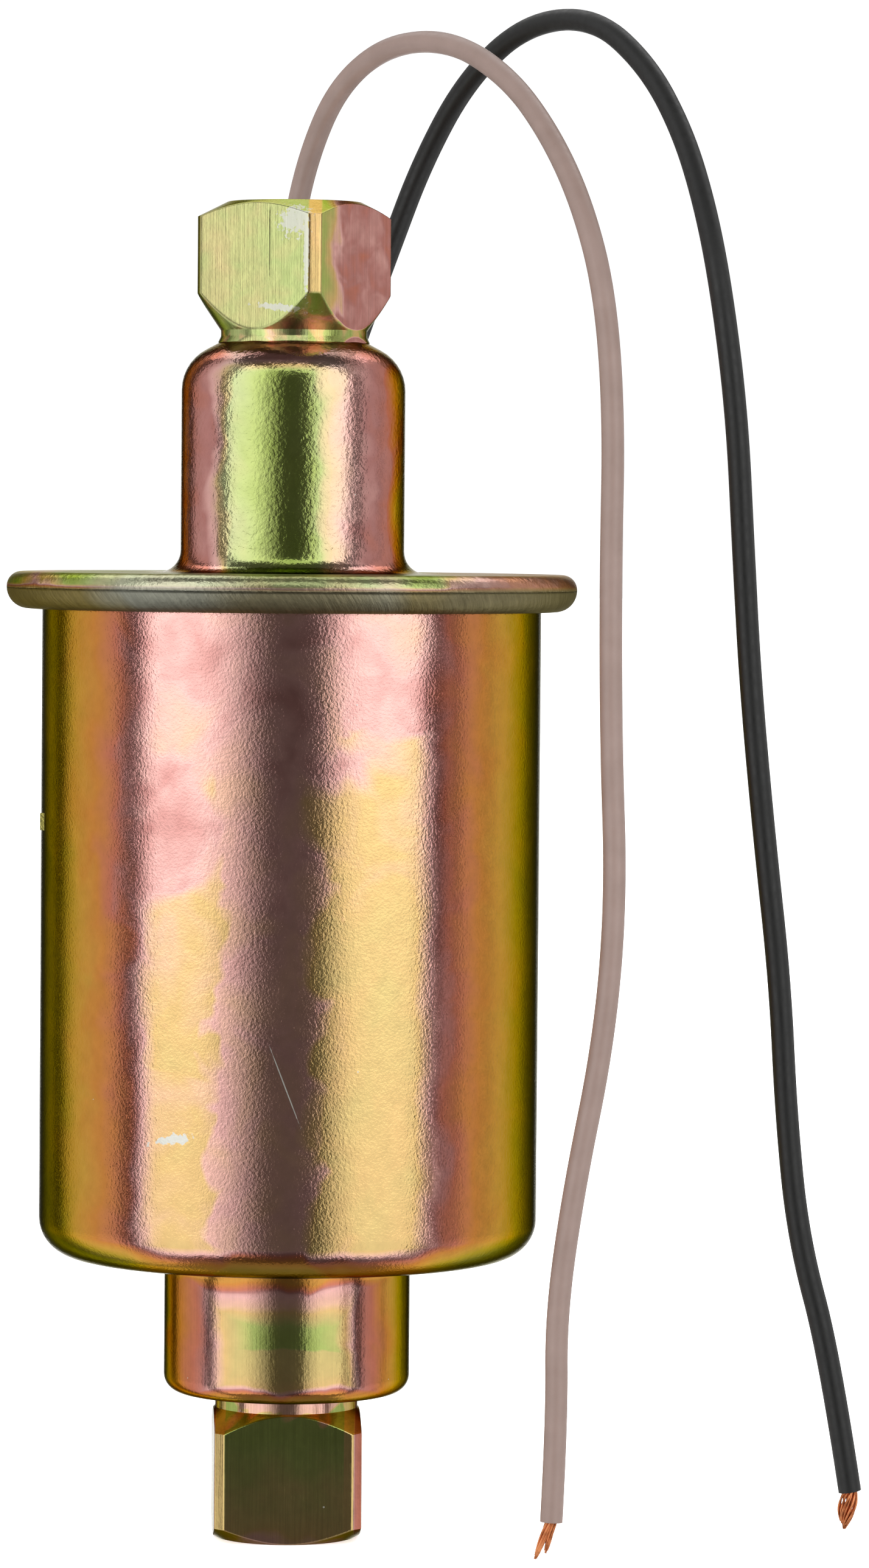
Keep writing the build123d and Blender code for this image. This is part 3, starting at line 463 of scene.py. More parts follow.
def can_finish():
    """Chromate on the can: rose above, pale gold maps below; thinner and more golden at the sides as a painted sheen,
    and on the bottom rounding as painted shade.
    """
    material, tree, shader, place = new_finish("yellow_chromate_on_drawn_can")
    parts = add(tree, "ShaderNodeSeparateXYZ", [place]).outputs
    # Gold maps where a drifting cloud is high, with a step at their edge, on the front 15 mm each way
    away = add(tree, "ShaderNodeMath", [parts["X"]], operation="ABSOLUTE")
    front = add(tree, "ShaderNodeMapRange", [away, 17.0, 13.0], interpolation_type="SMOOTHSTEP")
    gold = clouds(tree, place, 15, (3, 11, 7), (0.0123, 0, -0.0167))
    edge = add(tree, "ShaderNodeMapRange", {0: gold, 1: 0.15, 2: 0.25, 4: 0.1}, interpolation_type="SMOOTHSTEP")
    inner = add(tree, "ShaderNodeMapRange", {0: gold, 1: 0.3, 2: 0.7, 4: 0.06}, interpolation_type="SMOOTHSTEP")
    film = add(tree, "ShaderNodeMath", [edge, inner])
    # Rose above a ragged line at 22 mm, and in a band with ragged sides down the middle
    ragged = clouds(tree, place, 6, (2, 6, 6))
    top = add(tree, "ShaderNodeMath", [ragged, 5.0, parts["Z"]], operation="MULTIPLY_ADD")
    top = run_through(tree, top, (24.4, 1), (25.2, 0))
    film = add(tree, "ShaderNodeMath", [film, top], operation="MULTIPLY")
    ragged = add(tree, "ShaderNodeMath", [ragged, 9.0, parts["X"]], operation="MULTIPLY_ADD")
    band = run_through(tree, ragged, (-3.0, 1), (-2.2, 0.15), (7.2, 0.15), (9.0, 1))
    film = add(tree, "ShaderNodeMath", [film, band], operation="MULTIPLY")
    film = add(tree, "ShaderNodeMath", [film, front, rose], operation="MULTIPLY_ADD")
    # A little thinner low on the left. Much thinner, so darker olive gold, on the bottom rounding: painted shade where
    # it turns down
    lower_left = clouds(tree, place, 12, (31, 2, 5), (-0.02, 0, -0.012))
    thinned = add(tree, "ShaderNodeMapRange", {0: lower_left, 1: 0.85, 2: 0.92, 4: 0.04},
                  interpolation_type="SMOOTHSTEP")
    thinned = add(tree, "ShaderNodeMath", [thinned, band], operation="MULTIPLY")
    film = add(tree, "ShaderNodeMath", [film, thinned], operation="SUBTRACT")
    bottom_painted_shade = run_through(tree, parts["Z"], (-33.8, 0.42), (-31.6, 0))
    film = add(tree, "ShaderNodeMath", [film, bottom_painted_shade], operation="SUBTRACT")
    # Beyond half the radius it is taken thinner, ever faster, to the left and the right: a painted sheen, orange to
    # olive, the film's colour at a grazing view
    beyond = add(tree, "ShaderNodeMath", [away, can_radius], operation="DIVIDE")
    beyond = add(tree, "ShaderNodeMath", [beyond, 0.5], operation="SUBTRACT")
    beyond = add(tree, "ShaderNodeMath", [beyond, 0.0], operation="MAXIMUM")
    faster = add(tree, "ShaderNodeMath", [beyond, 1.3, 0.5], operation="MULTIPLY_ADD")
    sides = add(tree, "ShaderNodeMath", [beyond, faster], operation="MULTIPLY")
    film = add(tree, "ShaderNodeMath", [film, sides], operation="SUBTRACT")
    # It wanders by less than a tenth each way
    wander = clouds(tree, place, 6, (9, 9, 1))
    film = add(tree, "ShaderNodeMath", [wander, 0.16, film], operation="MULTIPLY_ADD")
    film = add(tree, "ShaderNodeMath", [film, 0.085], operation="SUBTRACT")
    # Bared by a rub at the lower left and by a thin scratch in the middle
    rub = worn_spot(tree, place, (-11.7, -24.3, -20.3), (2.1, 3.0, 0.5), lean=-0.2, ragged=1.7, grain=0.7)
    scratch = worn_spot(tree, place, (0.2, -27, -14.4), (0.07, 3.0, 4.9), lean=-0.37, ragged=0.3)
    wear = add(tree, "ShaderNodeMath", [rub, scratch], operation="MAXIMUM")
    chromate(tree, shader, place, film, (3, 11, 7), peel=0.3, depth=0.03, gloss=0.15, wear=wear)
    return material


stake = {"Stake Middle": 11.9 * mm, "Stake Height": 4.7 * mm, "Stake Width": 3.0 * mm, "Stake Floor": -26.8 * mm,
         "Burr Height": 1.85 * mm}


def can_tree():
    """The can: its outline turned, with the stake mark pressed flat in its side."""
    tree, given = new_growth("staked_can", {"Segments": "Int", **dict.fromkeys(stake, "Float"), "Finish": "Material"})
    skin = add(tree, "GeometryNodeGroup", {0: given[0], "Segments": given["Segments"]}, node_tree=turned)
    place = add(tree, "GeometryNodeInputPosition")
    parts = add(tree, "ShaderNodeSeparateXYZ", [place]).outputs
    above = add(tree, "ShaderNodeMath", [parts["Z"], given["Stake Middle"]], operation="SUBTRACT")
    above = add(tree, "ShaderNodeMath", [above], operation="ABSOLUTE")
    beside = add(tree, "ShaderNodeMath", [parts["Y"]], operation="ABSOLUTE")
    half_height = add(tree, "ShaderNodeMath", [given["Stake Height"], 0.5], operation="MULTIPLY")
    half_width = add(tree, "ShaderNodeMath", [given["Stake Width"], 0.5], operation="MULTIPLY")
    inside = add(tree, "ShaderNodeMath", [above, half_height], operation="LESS_THAN")
    within = add(tree, "ShaderNodeMath", [beside, half_width], operation="LESS_THAN")
    proud = add(tree, "ShaderNodeMath", [parts["X"], given["Stake Floor"]], operation="LESS_THAN")
    pressed = add(tree, "ShaderNodeMath", [inside, within], operation="MULTIPLY")
    pressed = add(tree, "ShaderNodeMath", [pressed, proud], operation="MULTIPLY")
    flat = add(tree, "ShaderNodeCombineXYZ", {"X": given["Stake Floor"], "Y": parts["Y"], "Z": parts["Z"]})
    skin = add(tree, "GeometryNodeSetPosition", {"Geometry": skin, "Selection": pressed, "Position": flat})
    # The punch has thrown up a small burr at the front edge of the stake
    size = add(tree, "ShaderNodeCombineXYZ", {"X": 0.7 * mm, "Y": 0.8 * mm, "Z": given["Burr Height"]})
    burr = add(tree, "GeometryNodeMeshCube", {"Size": size})
    burr = add(tree, "GeometryNodeTransform", {"Geometry": burr, "Rotation": (0, 0, math.radians(-32)),
                                               "Translation": (-26.32 * mm, -5.45 * mm, 12.1 * mm)})
    skin = add(tree, "GeometryNodeJoinGeometry", [skin])
    feed(tree, skin, [burr])
    finish_growth(tree, skin, given["Finish"])
    return tree


can_outline = outline((
    (8.7, -35.0, 0), (can_radius, -35.0, 4.1), (can_radius, 9.4, 0), (can_radius, 9.6, 0), (can_radius, 11.9, 0),
    (can_radius, 14.2, 0), (can_radius, 14.4, 0), (can_radius, 36.1, 0.5), (29.6, 36.1, 0), (29.6, 37.0, 0),
    (26.1, 37.0, 1.4), (26.1, -34.1, 3.2), (8.7, -34.1, 0),
))
can = grow("drawn_can", can_tree(), can_outline, {"Segments": 384, "Finish": can_finish(), **stake})
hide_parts("can_shell")
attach(can, "housing")


# Cover and dome. One steel sheet, drawn up into a dome in the middle, with its edge rolled round the can's flange into
# a tight rim. Same plating: lime green and coarse on the stretched dome, and greyed on the rim, whose lower half is
# brushed matt by the rolling tool. Where the side softboxes are mirrored on the dome and the rim, the colour is also
# paled to grey: a painted highlight.
rim_radius = 30.85


def cover_finish():
    """Chromate on the cover: one run of colours from left to right on the dome, another on the rim."""
    material, tree, shader, place = new_finish("yellow_chromate_on_rolled_cover")
    parts = add(tree, "ShaderNodeSeparateXYZ", [place]).outputs
    flat = add(tree, "ShaderNodeCombineXYZ", {"X": parts["X"], "Y": parts["Y"]})
    radius = add(tree, "ShaderNodeVectorMath", [flat], operation="LENGTH").outputs["Value"]
    on_rim = add(tree, "ShaderNodeMapRange", [radius, 14.0, 17.0], interpolation_type="SMOOTHSTEP")
    wander = clouds(tree, place, 8, (20, 4, 0))
    bent = add(tree, "ShaderNodeMath", [wander, 4.0, parts["X"]], operation="MULTIPLY_ADD")
    bent = add(tree, "ShaderNodeMath", [bent, 2.0], operation="SUBTRACT")
    # Dome: lime in front, dusty rose at its sides and round its shoulder, orange at its right edge
    dome_film = run_through(tree, bent, (-12.2, 0.48), (-11, 0.51), (-8.8, 0.52), (-7.6, 0.6), (-6.6, 0.88), (0, 0.97),
                            (2.7, 0.92), (4.3, 0.68), (6.2, 0.58), (8.3, 0.53), (10.2, 0.5), (11.2, 0.34), (12.2, 0.15))
    shoulder = add(tree, "ShaderNodeMapRange", [parts["Z"], 60.3, 62.0], interpolation_type="SMOOTHSTEP")
    dome_film = add(tree, "ShaderNodeMix", {0: shoulder, 2: dome_film, 3: 0.52})
    # Paled to grey where the left and right softboxes are mirrored on the dome: a painted highlight
    dome_painted_highlight = run_through(tree, bent, (-8, 0), (-6.5, 0.35), (-4, 0.1), (-1.5, 0), (2, 0.05), (4, 0.35), (6, 0.2),
                            (7.5, 0))
    wide = clouds(tree, place, 11, (4, 7, 2))
    wide = add(tree, "ShaderNodeMath", [wide, 14.0, parts["X"]], operation="MULTIPLY_ADD")
    wide = add(tree, "ShaderNodeMath", [wide, 7.0], operation="SUBTRACT")
    # Rim: olive, rose brown and lime at the left, grey in the middle, rose brown at the right. The grey is a painted
    # highlight, strongest where the left softbox is mirrored and again where the right one is
    rim_film = run_through(tree, wide, (-31, 0.9), (-27, 0.55), (-23, 0.93), (-14, 0.85), (0, 0.9), (8, 0.82),
                           (13, 0.95), (15, 0.85), (16.5, 0.62), (19, 0.52), (25, 0.5), (31, 0.47))
    rim_painted_highlight = run_through(tree, wide, (-21, 0), (-17, 0.75), (-9, 0.7), (-4, 0.3), (4, 0.3), (8, 0.5), (12, 0.1),
                           (18, 0.25))
    film = add(tree, "ShaderNodeMix", {0: on_rim, 2: dome_film, 3: rim_film})
    patches = clouds(tree, place, 4, (5, 8, 3))
    patches = add(tree, "ShaderNodeMath", [patches, 0.5], operation="SUBTRACT")
    amount = add(tree, "ShaderNodeMath", [on_rim, 0.2, 0.08], operation="MULTIPLY_ADD")
    film = add(tree, "ShaderNodeMath", [patches, amount, film], operation="MULTIPLY_ADD")
    painted_highlight_and_brushed_grey = add(tree, "ShaderNodeMix", {0: on_rim, 2: dome_painted_highlight, 3: rim_painted_highlight})
    # The rolling tool has brushed the rim's lower half matt, in short slanting strokes
    below = add(tree, "ShaderNodeMapRange", [parts["Z"], 37.9, 37.2], interpolation_type="SMOOTHSTEP")
    brushed = add(tree, "ShaderNodeMath", [on_rim, below], operation="MULTIPLY")
    around = add(tree, "ShaderNodeMath", [parts["Y"], parts["X"]], operation="ARCTAN2")
    around = add(tree, "ShaderNodeMath", [around, rim_radius], operation="MULTIPLY")
    slanted = add(tree, "ShaderNodeMath", [parts["Z"], 0.7, around], operation="MULTIPLY_ADD")
    unrolled = add(tree, "ShaderNodeCombineXYZ", {"X": slanted, "Z": parts["Z"]})
    strokes = tool_marks(tree, unrolled, (2.2, 1, 0.35))
    strokes = add(tree, "ShaderNodeMath", [strokes, 0.85], operation="SUBTRACT")
    film = add(tree, "ShaderNodeMix", {0: brushed, 2: film, 3: 0.13})
    crinkle = tool_marks(tree, unrolled, (0.9, 1, 1.6))
    crinkle = add(tree, "ShaderNodeMix", {0: on_rim, 2: 0.5, 3: crinkle})
    marks = add(tree, "ShaderNodeMix", {0: brushed, 2: crinkle, 3: strokes})
    gloss = add(tree, "ShaderNodeMath", [on_rim, 0.12, 0.17], operation="MULTIPLY_ADD")
    gloss = add(tree, "ShaderNodeMath", [brushed, 0.18, gloss], operation="MULTIPLY_ADD")
    painted_highlight_and_brushed_grey = add(tree, "ShaderNodeMath", [brushed, 0.25, painted_highlight_and_brushed_grey], operation="MULTIPLY_ADD")
    chromate(tree, shader, place, film, (20, 4, 0), peel=0.5, depth=0.05, gloss=gloss, wash=painted_highlight_and_brushed_grey, marks=marks)
    return material


def cover_tree():
    """The cover: its outline turned, with a hole for the grommet."""
    tree, given = new_growth("holed_cover", {"Segments": "Int", "Hole": "Vector", "Hole Radius": "Float",
                                             "Hole Depth": "Float", "Finish": "Material"})
    skin = add(tree, "GeometryNodeGroup", {0: given[0], "Segments": given["Segments"]}, node_tree=turned)
    punch = add(tree, "GeometryNodeMeshCylinder",
                {"Vertices": 48, "Radius": given["Hole Radius"], "Depth": given["Hole Depth"]})
    punch = add(tree, "GeometryNodeTransform", {"Geometry": punch, "Translation": given["Hole"]})
    holed = add(tree, "GeometryNodeMeshBoolean", [skin, punch], operation="DIFFERENCE", solver="EXACT")
    finish_growth(tree, holed, given["Finish"])
    return tree


cover_outline = outline((
    (6.5, 63.9, 0), (7.9, 63.9, 0), (12.1, 61.67, 4.95), (12.1, 39.0, 2.4), (rim_radius, 39.0, 1.6),
    (rim_radius, 35.0, 2.3), (27.6, 35.0, 0), (27.6, 36.1, 0), (29.6, 36.1, 0), (29.6, 37.9, 0),
    (11.1, 37.9, 3.4), (11.1, 61.07, 3.95), (7.9, 62.77, 0), (6.5, 62.77, 0),
))
cover = grow("domed_cover", cover_tree(), cover_outline, {
    "Segments": 320, "Hole": tuple(grommet_place * mm), "Hole Radius": 4.0 * mm, "Hole Depth": 6 * mm,
    "Finish": cover_finish()})
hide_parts("top_cover", "cover_dome")
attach(cover, "housing")


# Inlet cup. A small drawn cup, brazed under the can and flared where it meets it. Ironed walls
# with fine upright draw lines, and the film runs through rose, lime and gold from top to bottom.
def cup_finish():
    """Chromate on the cup: a run of colours from left to right, cut down by one from bottom to top."""
    material, tree, shader, place = new_finish("yellow_chromate_on_ironed_cup")
    parts = add(tree, "ShaderNodeSeparateXYZ", [place]).outputs
    wander = clouds(tree, place, 7, (4, 2, 8))
    bent = add(tree, "ShaderNodeMath", [wander, 3.0, parts["X"]], operation="MULTIPLY_ADD")
    # The run falls to olive at the left and right edges: a painted sheen, the film's colour at a grazing view
    film = run_through(tree, bent, (-11.8, 0.02), (-10.7, 0.3), (-9, 0.44), (-7.3, 0.5), (-6.1, 0.6), (-4.9, 0.72),
                       (-3.5, 0.82), (-1.5, 0.92), (4.4, 0.93), (7.4, 0.86), (8.3, 0.7), (9.5, 0.51), (10.9, 0.47),
                       (12.2, 0.33), (13.6, 0.15), (14.8, 0.03))
    level = add(tree, "ShaderNodeMath", [wander, 3.0, parts["Z"]], operation="MULTIPLY_ADD")
    level = run_through(tree, level, (-48.3, 0.2), (-47.4, 0.4), (-46.5, 0.71), (-45.5, 0.76), (-42.7, 0.8),
                        (-42.3, 0.95), (-39.8, 0.9), (-37.5, 0.62), (-36.2, 0.56), (-35, 0.3))
    film = add(tree, "ShaderNodeMath", [film, level], operation="MINIMUM")
    lines = tool_marks(tree, place, (4, 4, 0.12))
    lines = add(tree, "ShaderNodeMath", [lines, 0.4, 0.3], operation="MULTIPLY_ADD")
    chromate(tree, shader, place, film, (1, 5, 2), peel=0.35, depth=0.016, gloss=0.14, marks=lines)
    return material


cup_tree, given = new_growth("drawn_cup", {"Segments": "Int", "Finish": "Material"})
cup_skin = add(cup_tree, "GeometryNodeGroup", {0: given[0], "Segments": given["Segments"]}, node_tree=turned)
finish_growth(cup_tree, cup_skin, given["Finish"])
cup_outline = outline((
    (6.5, -49.85, 0), (13.35, -49.85, 1.9), (13.35, -36.6, 0.6), (13.6, -35.0, 0), (12.35, -35.0, 0),
    (12.35, -48.85, 0.9), (6.5, -48.85, 0),
))
cup = grow("drawn_cup", cup_tree, cup_outline, {"Segments": 256, "Finish": cup_finish()})
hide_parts("inlet_cup")
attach(cup, "housing")


# Port fittings. Square bar with narrow bevels, turned down to a cone and a neck at one end and
# chamfered at the other, tapped with a 1/8 inch pipe thread. They are plated with the rest,
# lime green where the light strikes them, with upright drawing lines and scuffs from the wrench.
def squared_tree():
    """A turned skin cut down to a bevelled square, with a thread in its bore. The columns crowd
    together at the square's corners."""
    sizes = ("Half Flats", "Corner", "Turn", "Crowding", "Softness", "Tap Radius", "Pitch", "Thread Depth",
             "Thread Middle", "Thread Length")
    tree, given = new_growth("squared_fitting",
                             {"Segments": "Int", **dict.fromkeys(sizes, "Float"), "Finish": "Material"})
    skin = add(tree, "GeometryNodeGroup", {0: given[0], "Segments": given["Segments"]}, node_tree=turned)
    place = add(tree, "GeometryNodeInputPosition")
    parts = add(tree, "ShaderNodeSeparateXYZ", [place]).outputs
    flat = add(tree, "ShaderNodeCombineXYZ", {"X": parts["X"], "Y": parts["Y"]})
    radius = add(tree, "ShaderNodeVectorMath", [flat], operation="LENGTH").outputs["Value"]
    angle = add(tree, "ShaderNodeMath", [parts["Y"], parts["X"]], operation="ARCTAN2")
    # Four times a turn the columns are drawn towards a corner
    crowd = add(tree, "ShaderNodeMath", [angle, 4.0], operation="MULTIPLY")
    crowd = add(tree, "ShaderNodeMath", [crowd], operation="SINE")
    crowd = add(tree, "ShaderNodeMath", [crowd, given["Crowding"]], operation="MULTIPLY")
    angle = add(tree, "ShaderNodeMath", [crowd, 0.25, angle], operation="MULTIPLY_ADD")
    # No point stays outside the four faces and the four bevels
    cosine = add(tree, "ShaderNodeMath", [angle], operation="COSINE")
    cosine = add(tree, "ShaderNodeMath", [cosine], operation="ABSOLUTE")
    sine = add(tree, "ShaderNodeMath", [angle], operation="SINE")
    sine = add(tree, "ShaderNodeMath", [sine], operation="ABSOLUTE")
    larger = add(tree, "ShaderNodeMath", [cosine, sine], operation="MAXIMUM")
    face = add(tree, "ShaderNodeMath", [given["Half Flats"], larger], operation="DIVIDE")
    both = add(tree, "ShaderNodeMath", [cosine, sine])
    bevel = add(tree, "ShaderNodeMath", [given["Corner"], both], operation="DIVIDE")
    limit = add(tree, "ShaderNodeMath", [face, bevel, given["Softness"]], operation="SMOOTH_MIN")
    radius = add(tree, "ShaderNodeMath", [radius, limit, given["Softness"]], operation="SMOOTH_MIN")
    # The thread: a ridge that climbs one pitch a turn, only on the bore's wall
    climb = add(tree, "ShaderNodeMath", [parts["Z"], given["Pitch"]], operation="DIVIDE")
    climb = add(tree, "ShaderNodeMath", [angle, 1 / (2 * math.pi), climb], operation="MULTIPLY_ADD")
    ridge = add(tree, "ShaderNodeMath", [climb, 0.5], operation="PINGPONG")
    ridge = add(tree, "ShaderNodeMath", [ridge, given["Thread Depth"]], operation="MULTIPLY")
    on_wall = add(tree, "ShaderNodeMath", [radius, given["Tap Radius"], 0.02 * mm], operation="COMPARE")
    level = add(tree, "ShaderNodeMath", [parts["Z"], given["Thread Middle"]], operation="SUBTRACT")
    level = add(tree, "ShaderNodeMath", [level], operation="ABSOLUTE")
    half = add(tree, "ShaderNodeMath", [given["Thread Length"], 0.5], operation="MULTIPLY")
    inner = add(tree, "ShaderNodeMath", [half, 0.6 * mm], operation="SUBTRACT")
    fade = add(tree, "ShaderNodeMapRange", [level, inner, half, 2.0, 0.0])
    ridge = add(tree, "ShaderNodeMath", [ridge, fade], operation="MULTIPLY")
    radius = add(tree, "ShaderNodeMath", [ridge, on_wall, radius], operation="MULTIPLY_ADD")
    final = add(tree, "ShaderNodeMath", [angle, given["Turn"]])
    arm = add(tree, "ShaderNodeCombineXYZ", {"X": radius, "Z": parts["Z"]})
    spot = add(tree, "ShaderNodeVectorRotate", {"Vector": arm, "Angle": final}, rotation_type="Z_AXIS")
    skin = add(tree, "GeometryNodeSetPosition", {"Geometry": skin, "Position": spot})
    finish_growth(tree, skin, given["Finish"])
    return tree


outlet_turn, inlet_turn = math.radians(58), math.radians(3.3)


def outlet_finish():
    """Lime on the left face; on the right olive by the bevel, then rose and orange."""
    material, tree, shader, place = new_finish("yellow_chromate_on_square_bar_above")
    parts = add(tree, "ShaderNodeSeparateXYZ", [place]).outputs
    bent = clouds(tree, place, 5, (6, 3, 2), (0.3, 0, 0))
    wander = clouds(tree, place, 3, (2, 9, 4))
    film = run_through(tree, parts["X"], (-8.4, 0.84), (1.6, 0.9), (1.75, 0.72), (3.0, 0.72), (3.15, 0.88), (9, 0.88))
    to_rose = add(tree, "ShaderNodeMapRange", {0: bent, 1: 1.5, 2: 2.1, 4: 0.36}, interpolation_type="SMOOTHSTEP")
    film = add(tree, "ShaderNodeMath", [film, to_rose], operation="SUBTRACT")
    film = add(tree, "ShaderNodeMath", [film, 0.07], operation="SUBTRACT")
    film = add(tree, "ShaderNodeMath", [wander, 0.14, film], operation="MULTIPLY_ADD")
    # Cone and neck: rose and lime by turns
    neck = add(tree, "ShaderNodeMapRange", [parts["Z"], 69.2, 68.7], interpolation_type="SMOOTHSTEP")
    turned_in = add(tree, "ShaderNodeMapping", {"Vector": place, "Rotation": (0, 0, -outlet_turn)})
    sides = add(tree, "ShaderNodeVectorMath", [turned_in], operation="ABSOLUTE")
    sides = add(tree, "ShaderNodeSeparateXYZ", [sides]).outputs
    reach = add(tree, "ShaderNodeMath", [sides["X"], sides["Y"]], operation="MAXIMUM")
    inside = add(tree, "ShaderNodeMapRange", [reach, 7.93, 7.85], interpolation_type="SMOOTHSTEP")
    neck = add(tree, "ShaderNodeMath", [neck, inside], operation="MULTIPLY")
    turns = run_through(tree, wander, (0.3, 0.55), (0.42, 0.68), (0.5, 0.88), (0.7, 0.95))
    film = add(tree, "ShaderNodeMix", {0: neck, 2: film, 3: turns})
    # The left face, which mirrors the left softbox, is paled to grey as a painted highlight; it is scuffed at its upper
    # corner, its right edge and its foot, and scored
    painted_face_highlight = add(tree, "ShaderNodeMapRange", {0: parts["X"], 1: 1.75, 2: 1.55, 4: 0.18}, interpolation_type="SMOOTHSTEP")
    corner = worn_spot(tree, place, (0.1, -10.2, 76.7), (1.9, 3.0, 1.6), lean=-0.5, ragged=1.3, grain=0.5)
    edge = worn_spot(tree, place, (1.45, -10.6, 73.5), (0.3, 3.0, 5.5), ragged=1.0, grain=0.5)
    foot = worn_spot(tree, place, (-2.0, -9.0, 67.5), (3.6, 3.0, 0.4), lean=0.12, ragged=1.0, grain=0.5)
    wear = add(tree, "ShaderNodeMath", [corner, foot], operation="MAXIMUM")
    wear = add(tree, "ShaderNodeMath", [wear, edge], operation="MAXIMUM")
    wear = add(tree, "ShaderNodeMath", [wear, 0.75], operation="MULTIPLY")
    score = worn_spot(tree, place, (-2.5, -9.0, 74.4), (0.09, 3.0, 4.6), ragged=0.3)
    lines = tool_marks(tree, place, (5, 5, 0.1))
    lines = add(tree, "ShaderNodeMath", [lines, score], operation="SUBTRACT")
    chromate(tree, shader, place, film, (2, 2, 7), peel=0.5, depth=0.01, gloss=0.2, wear=wear, wash=painted_face_highlight, marks=lines)
    return material


def inlet_finish():
    """Dark green on the faces, browner downwards, with gold and rose on the bevels."""
    material, tree, shader, place = new_finish("yellow_chromate_on_square_bar_below")
    parts = add(tree, "ShaderNodeSeparateXYZ", [place]).outputs
    away = add(tree, "ShaderNodeMath", [parts["X"]], operation="ABSOLUTE")
    wander = clouds(tree, place, 5, (7, 1, 2))
    level = add(tree, "ShaderNodeMath", [wander, 8.0, parts["Z"]], operation="MULTIPLY_ADD")
    film = run_through(tree, level, (-62, 0.6), (-60, 0.74), (-57, 0.8), (-54, 0.86), (-50, 0.92), (-48, 0.92),
                       (-47.4, 0.62), (-45.5, 0.58))
    on_bevel = add(tree, "ShaderNodeMapRange", [away, 6.35, 6.5], interpolation_type="SMOOTHSTEP")
    bevel = run_through(tree, away, (6.3, 0.74), (7.4, 0.75), (7.6, 0.5), (8, 0.48))
    film = add(tree, "ShaderNodeMix", {0: on_bevel, 2: film, 3: bevel})
    chromate(tree, shader, place, film, (8, 2, 1), peel=0.5, depth=0.01, gloss=0.13,
             marks=tool_marks(tree, place, (4, 4, 0.1)))
    return material


squared = squared_tree()
# 15.9 mm across flats, cut by a thread of 27 turns an inch
bar = {"Segments": 288, "Half Flats": 7.95 * mm, "Corner": 14.95 * mm, "Crowding": 0.6, "Softness": 0.2 * mm,
       "Tap Radius": 4.366 * mm, "Pitch": 0.9407 * mm, "Thread Depth": 0.62 * mm, "Thread Length": 9.2 * mm}
outlet = grow("outlet_square", squared, outline((
    (3.0, 60.4, 0), (6.5, 60.4, 0), (6.5, 63.9, 0), (8.25, 63.75, 0.1), (7.9, 64.5, 0.3), (7.9, 65.1, 0.1, 0.1),
    (10.6, 69.07, 0.1), (10.6, 77.32, 0.1, 0.1), (7.25, 79.0, 0.1), (4.966, 79.0, 0), (4.366, 78.4, 0, 0.12),
    (4.366, 69.0, 0), (3.0, 69.0, 0),
)), {**bar, "Turn": outlet_turn, "Thread Middle": 73.8 * mm, "Finish": outlet_finish()})
inlet = grow("inlet_square", squared, outline((
    (3.0, -48.05, 0), (6.5, -48.05, 0), (6.5, -49.85, 0), (7.75, -49.85, 0), (7.75, -51.5, 0.1, 0.1),
    (10.6, -53.69, 0.1), (10.6, -63.92, 0.1, 0.1), (7.8, -65.6, 0.1), (4.966, -65.6, 0), (4.366, -65.0, 0, 0.12),
    (4.366, -55.6, 0), (3.0, -55.6, 0),
)), {**bar, "Turn": inlet_turn, "Thread Middle": -60.4 * mm, "Finish": inlet_finish()})
for fitting, node in ((outlet, "outlet_fitting"), (inlet, "inlet_fitting")):
    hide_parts(node)
    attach(fitting, "housing")


# Grommet. A bush moulded in black rubber, dull from its mould. It is pressed in the cover's hole,
# whose edge sits in its groove, and each lead passes through it in a tight bore.
def bush_tree():
    """The bush: turned, moved to its place, and pierced for both leads."""
    tree, given = new_growth("lead_bush", {"Segments": "Int", "Place": "Vector", "Lead Spacing": "Float",
                                           "Lead Hole": "Float", "Finish": "Material"})
    skin = add(tree, "GeometryNodeGroup", {0: given[0], "Segments": given["Segments"]}, node_tree=turned)
    skin = add(tree, "GeometryNodeTransform", {"Geometry": skin, "Translation": given["Place"]})
    needle = add(tree, "GeometryNodeMeshCylinder", {"Vertices": 32, "Radius": given["Lead Hole"], "Depth": 8 * mm})
    half = add(tree, "ShaderNodeMath", [given["Lead Spacing"], 0.5], operation="MULTIPLY")
    pierced = skin
    for side in (-1.0, 1.0):
        offset = add(tree, "ShaderNodeMath", [half, side], operation="MULTIPLY")
        offset = add(tree, "ShaderNodeCombineXYZ", {"X": offset})
        spot = add(tree, "ShaderNodeVectorMath", [given["Place"], offset])
        hole = add(tree, "GeometryNodeTransform", {"Geometry": needle, "Translation": spot})
        pierced = add(tree, "GeometryNodeMeshBoolean", [pierced, hole], operation="DIFFERENCE", solver="EXACT")
    finish_growth(tree, pierced, given["Finish"])
    return tree


def moulded(name, colour, shade, grain, gloss, ior, relief=0.02):
    """A moulded finish: a main colour and a shade in a fine grain of a size in mm."""
    material, tree, shader, place = new_finish(name)
    cloud = add(tree, "ShaderNodeTexNoise", {"Vector": place, "Scale": 1 / grain, "Detail": 4})
    tint = add(tree, "ShaderNodeMix", {"Factor": cloud, 6: linear(shade), 7: linear(colour)}, data_type="RGBA")
    rough = add(tree, "ShaderNodeMapRange", [cloud, 0.3, 0.7, gloss - 0.05, gloss + 0.07])
    bump = add(tree, "ShaderNodeBump", {"Strength": 0.5, "Distance": relief * mm, "Height": cloud})
    feed(tree, shader, {"Base Color": tint.outputs[2], "Roughness": rough, "Normal": bump, "IOR": ior})
    return material


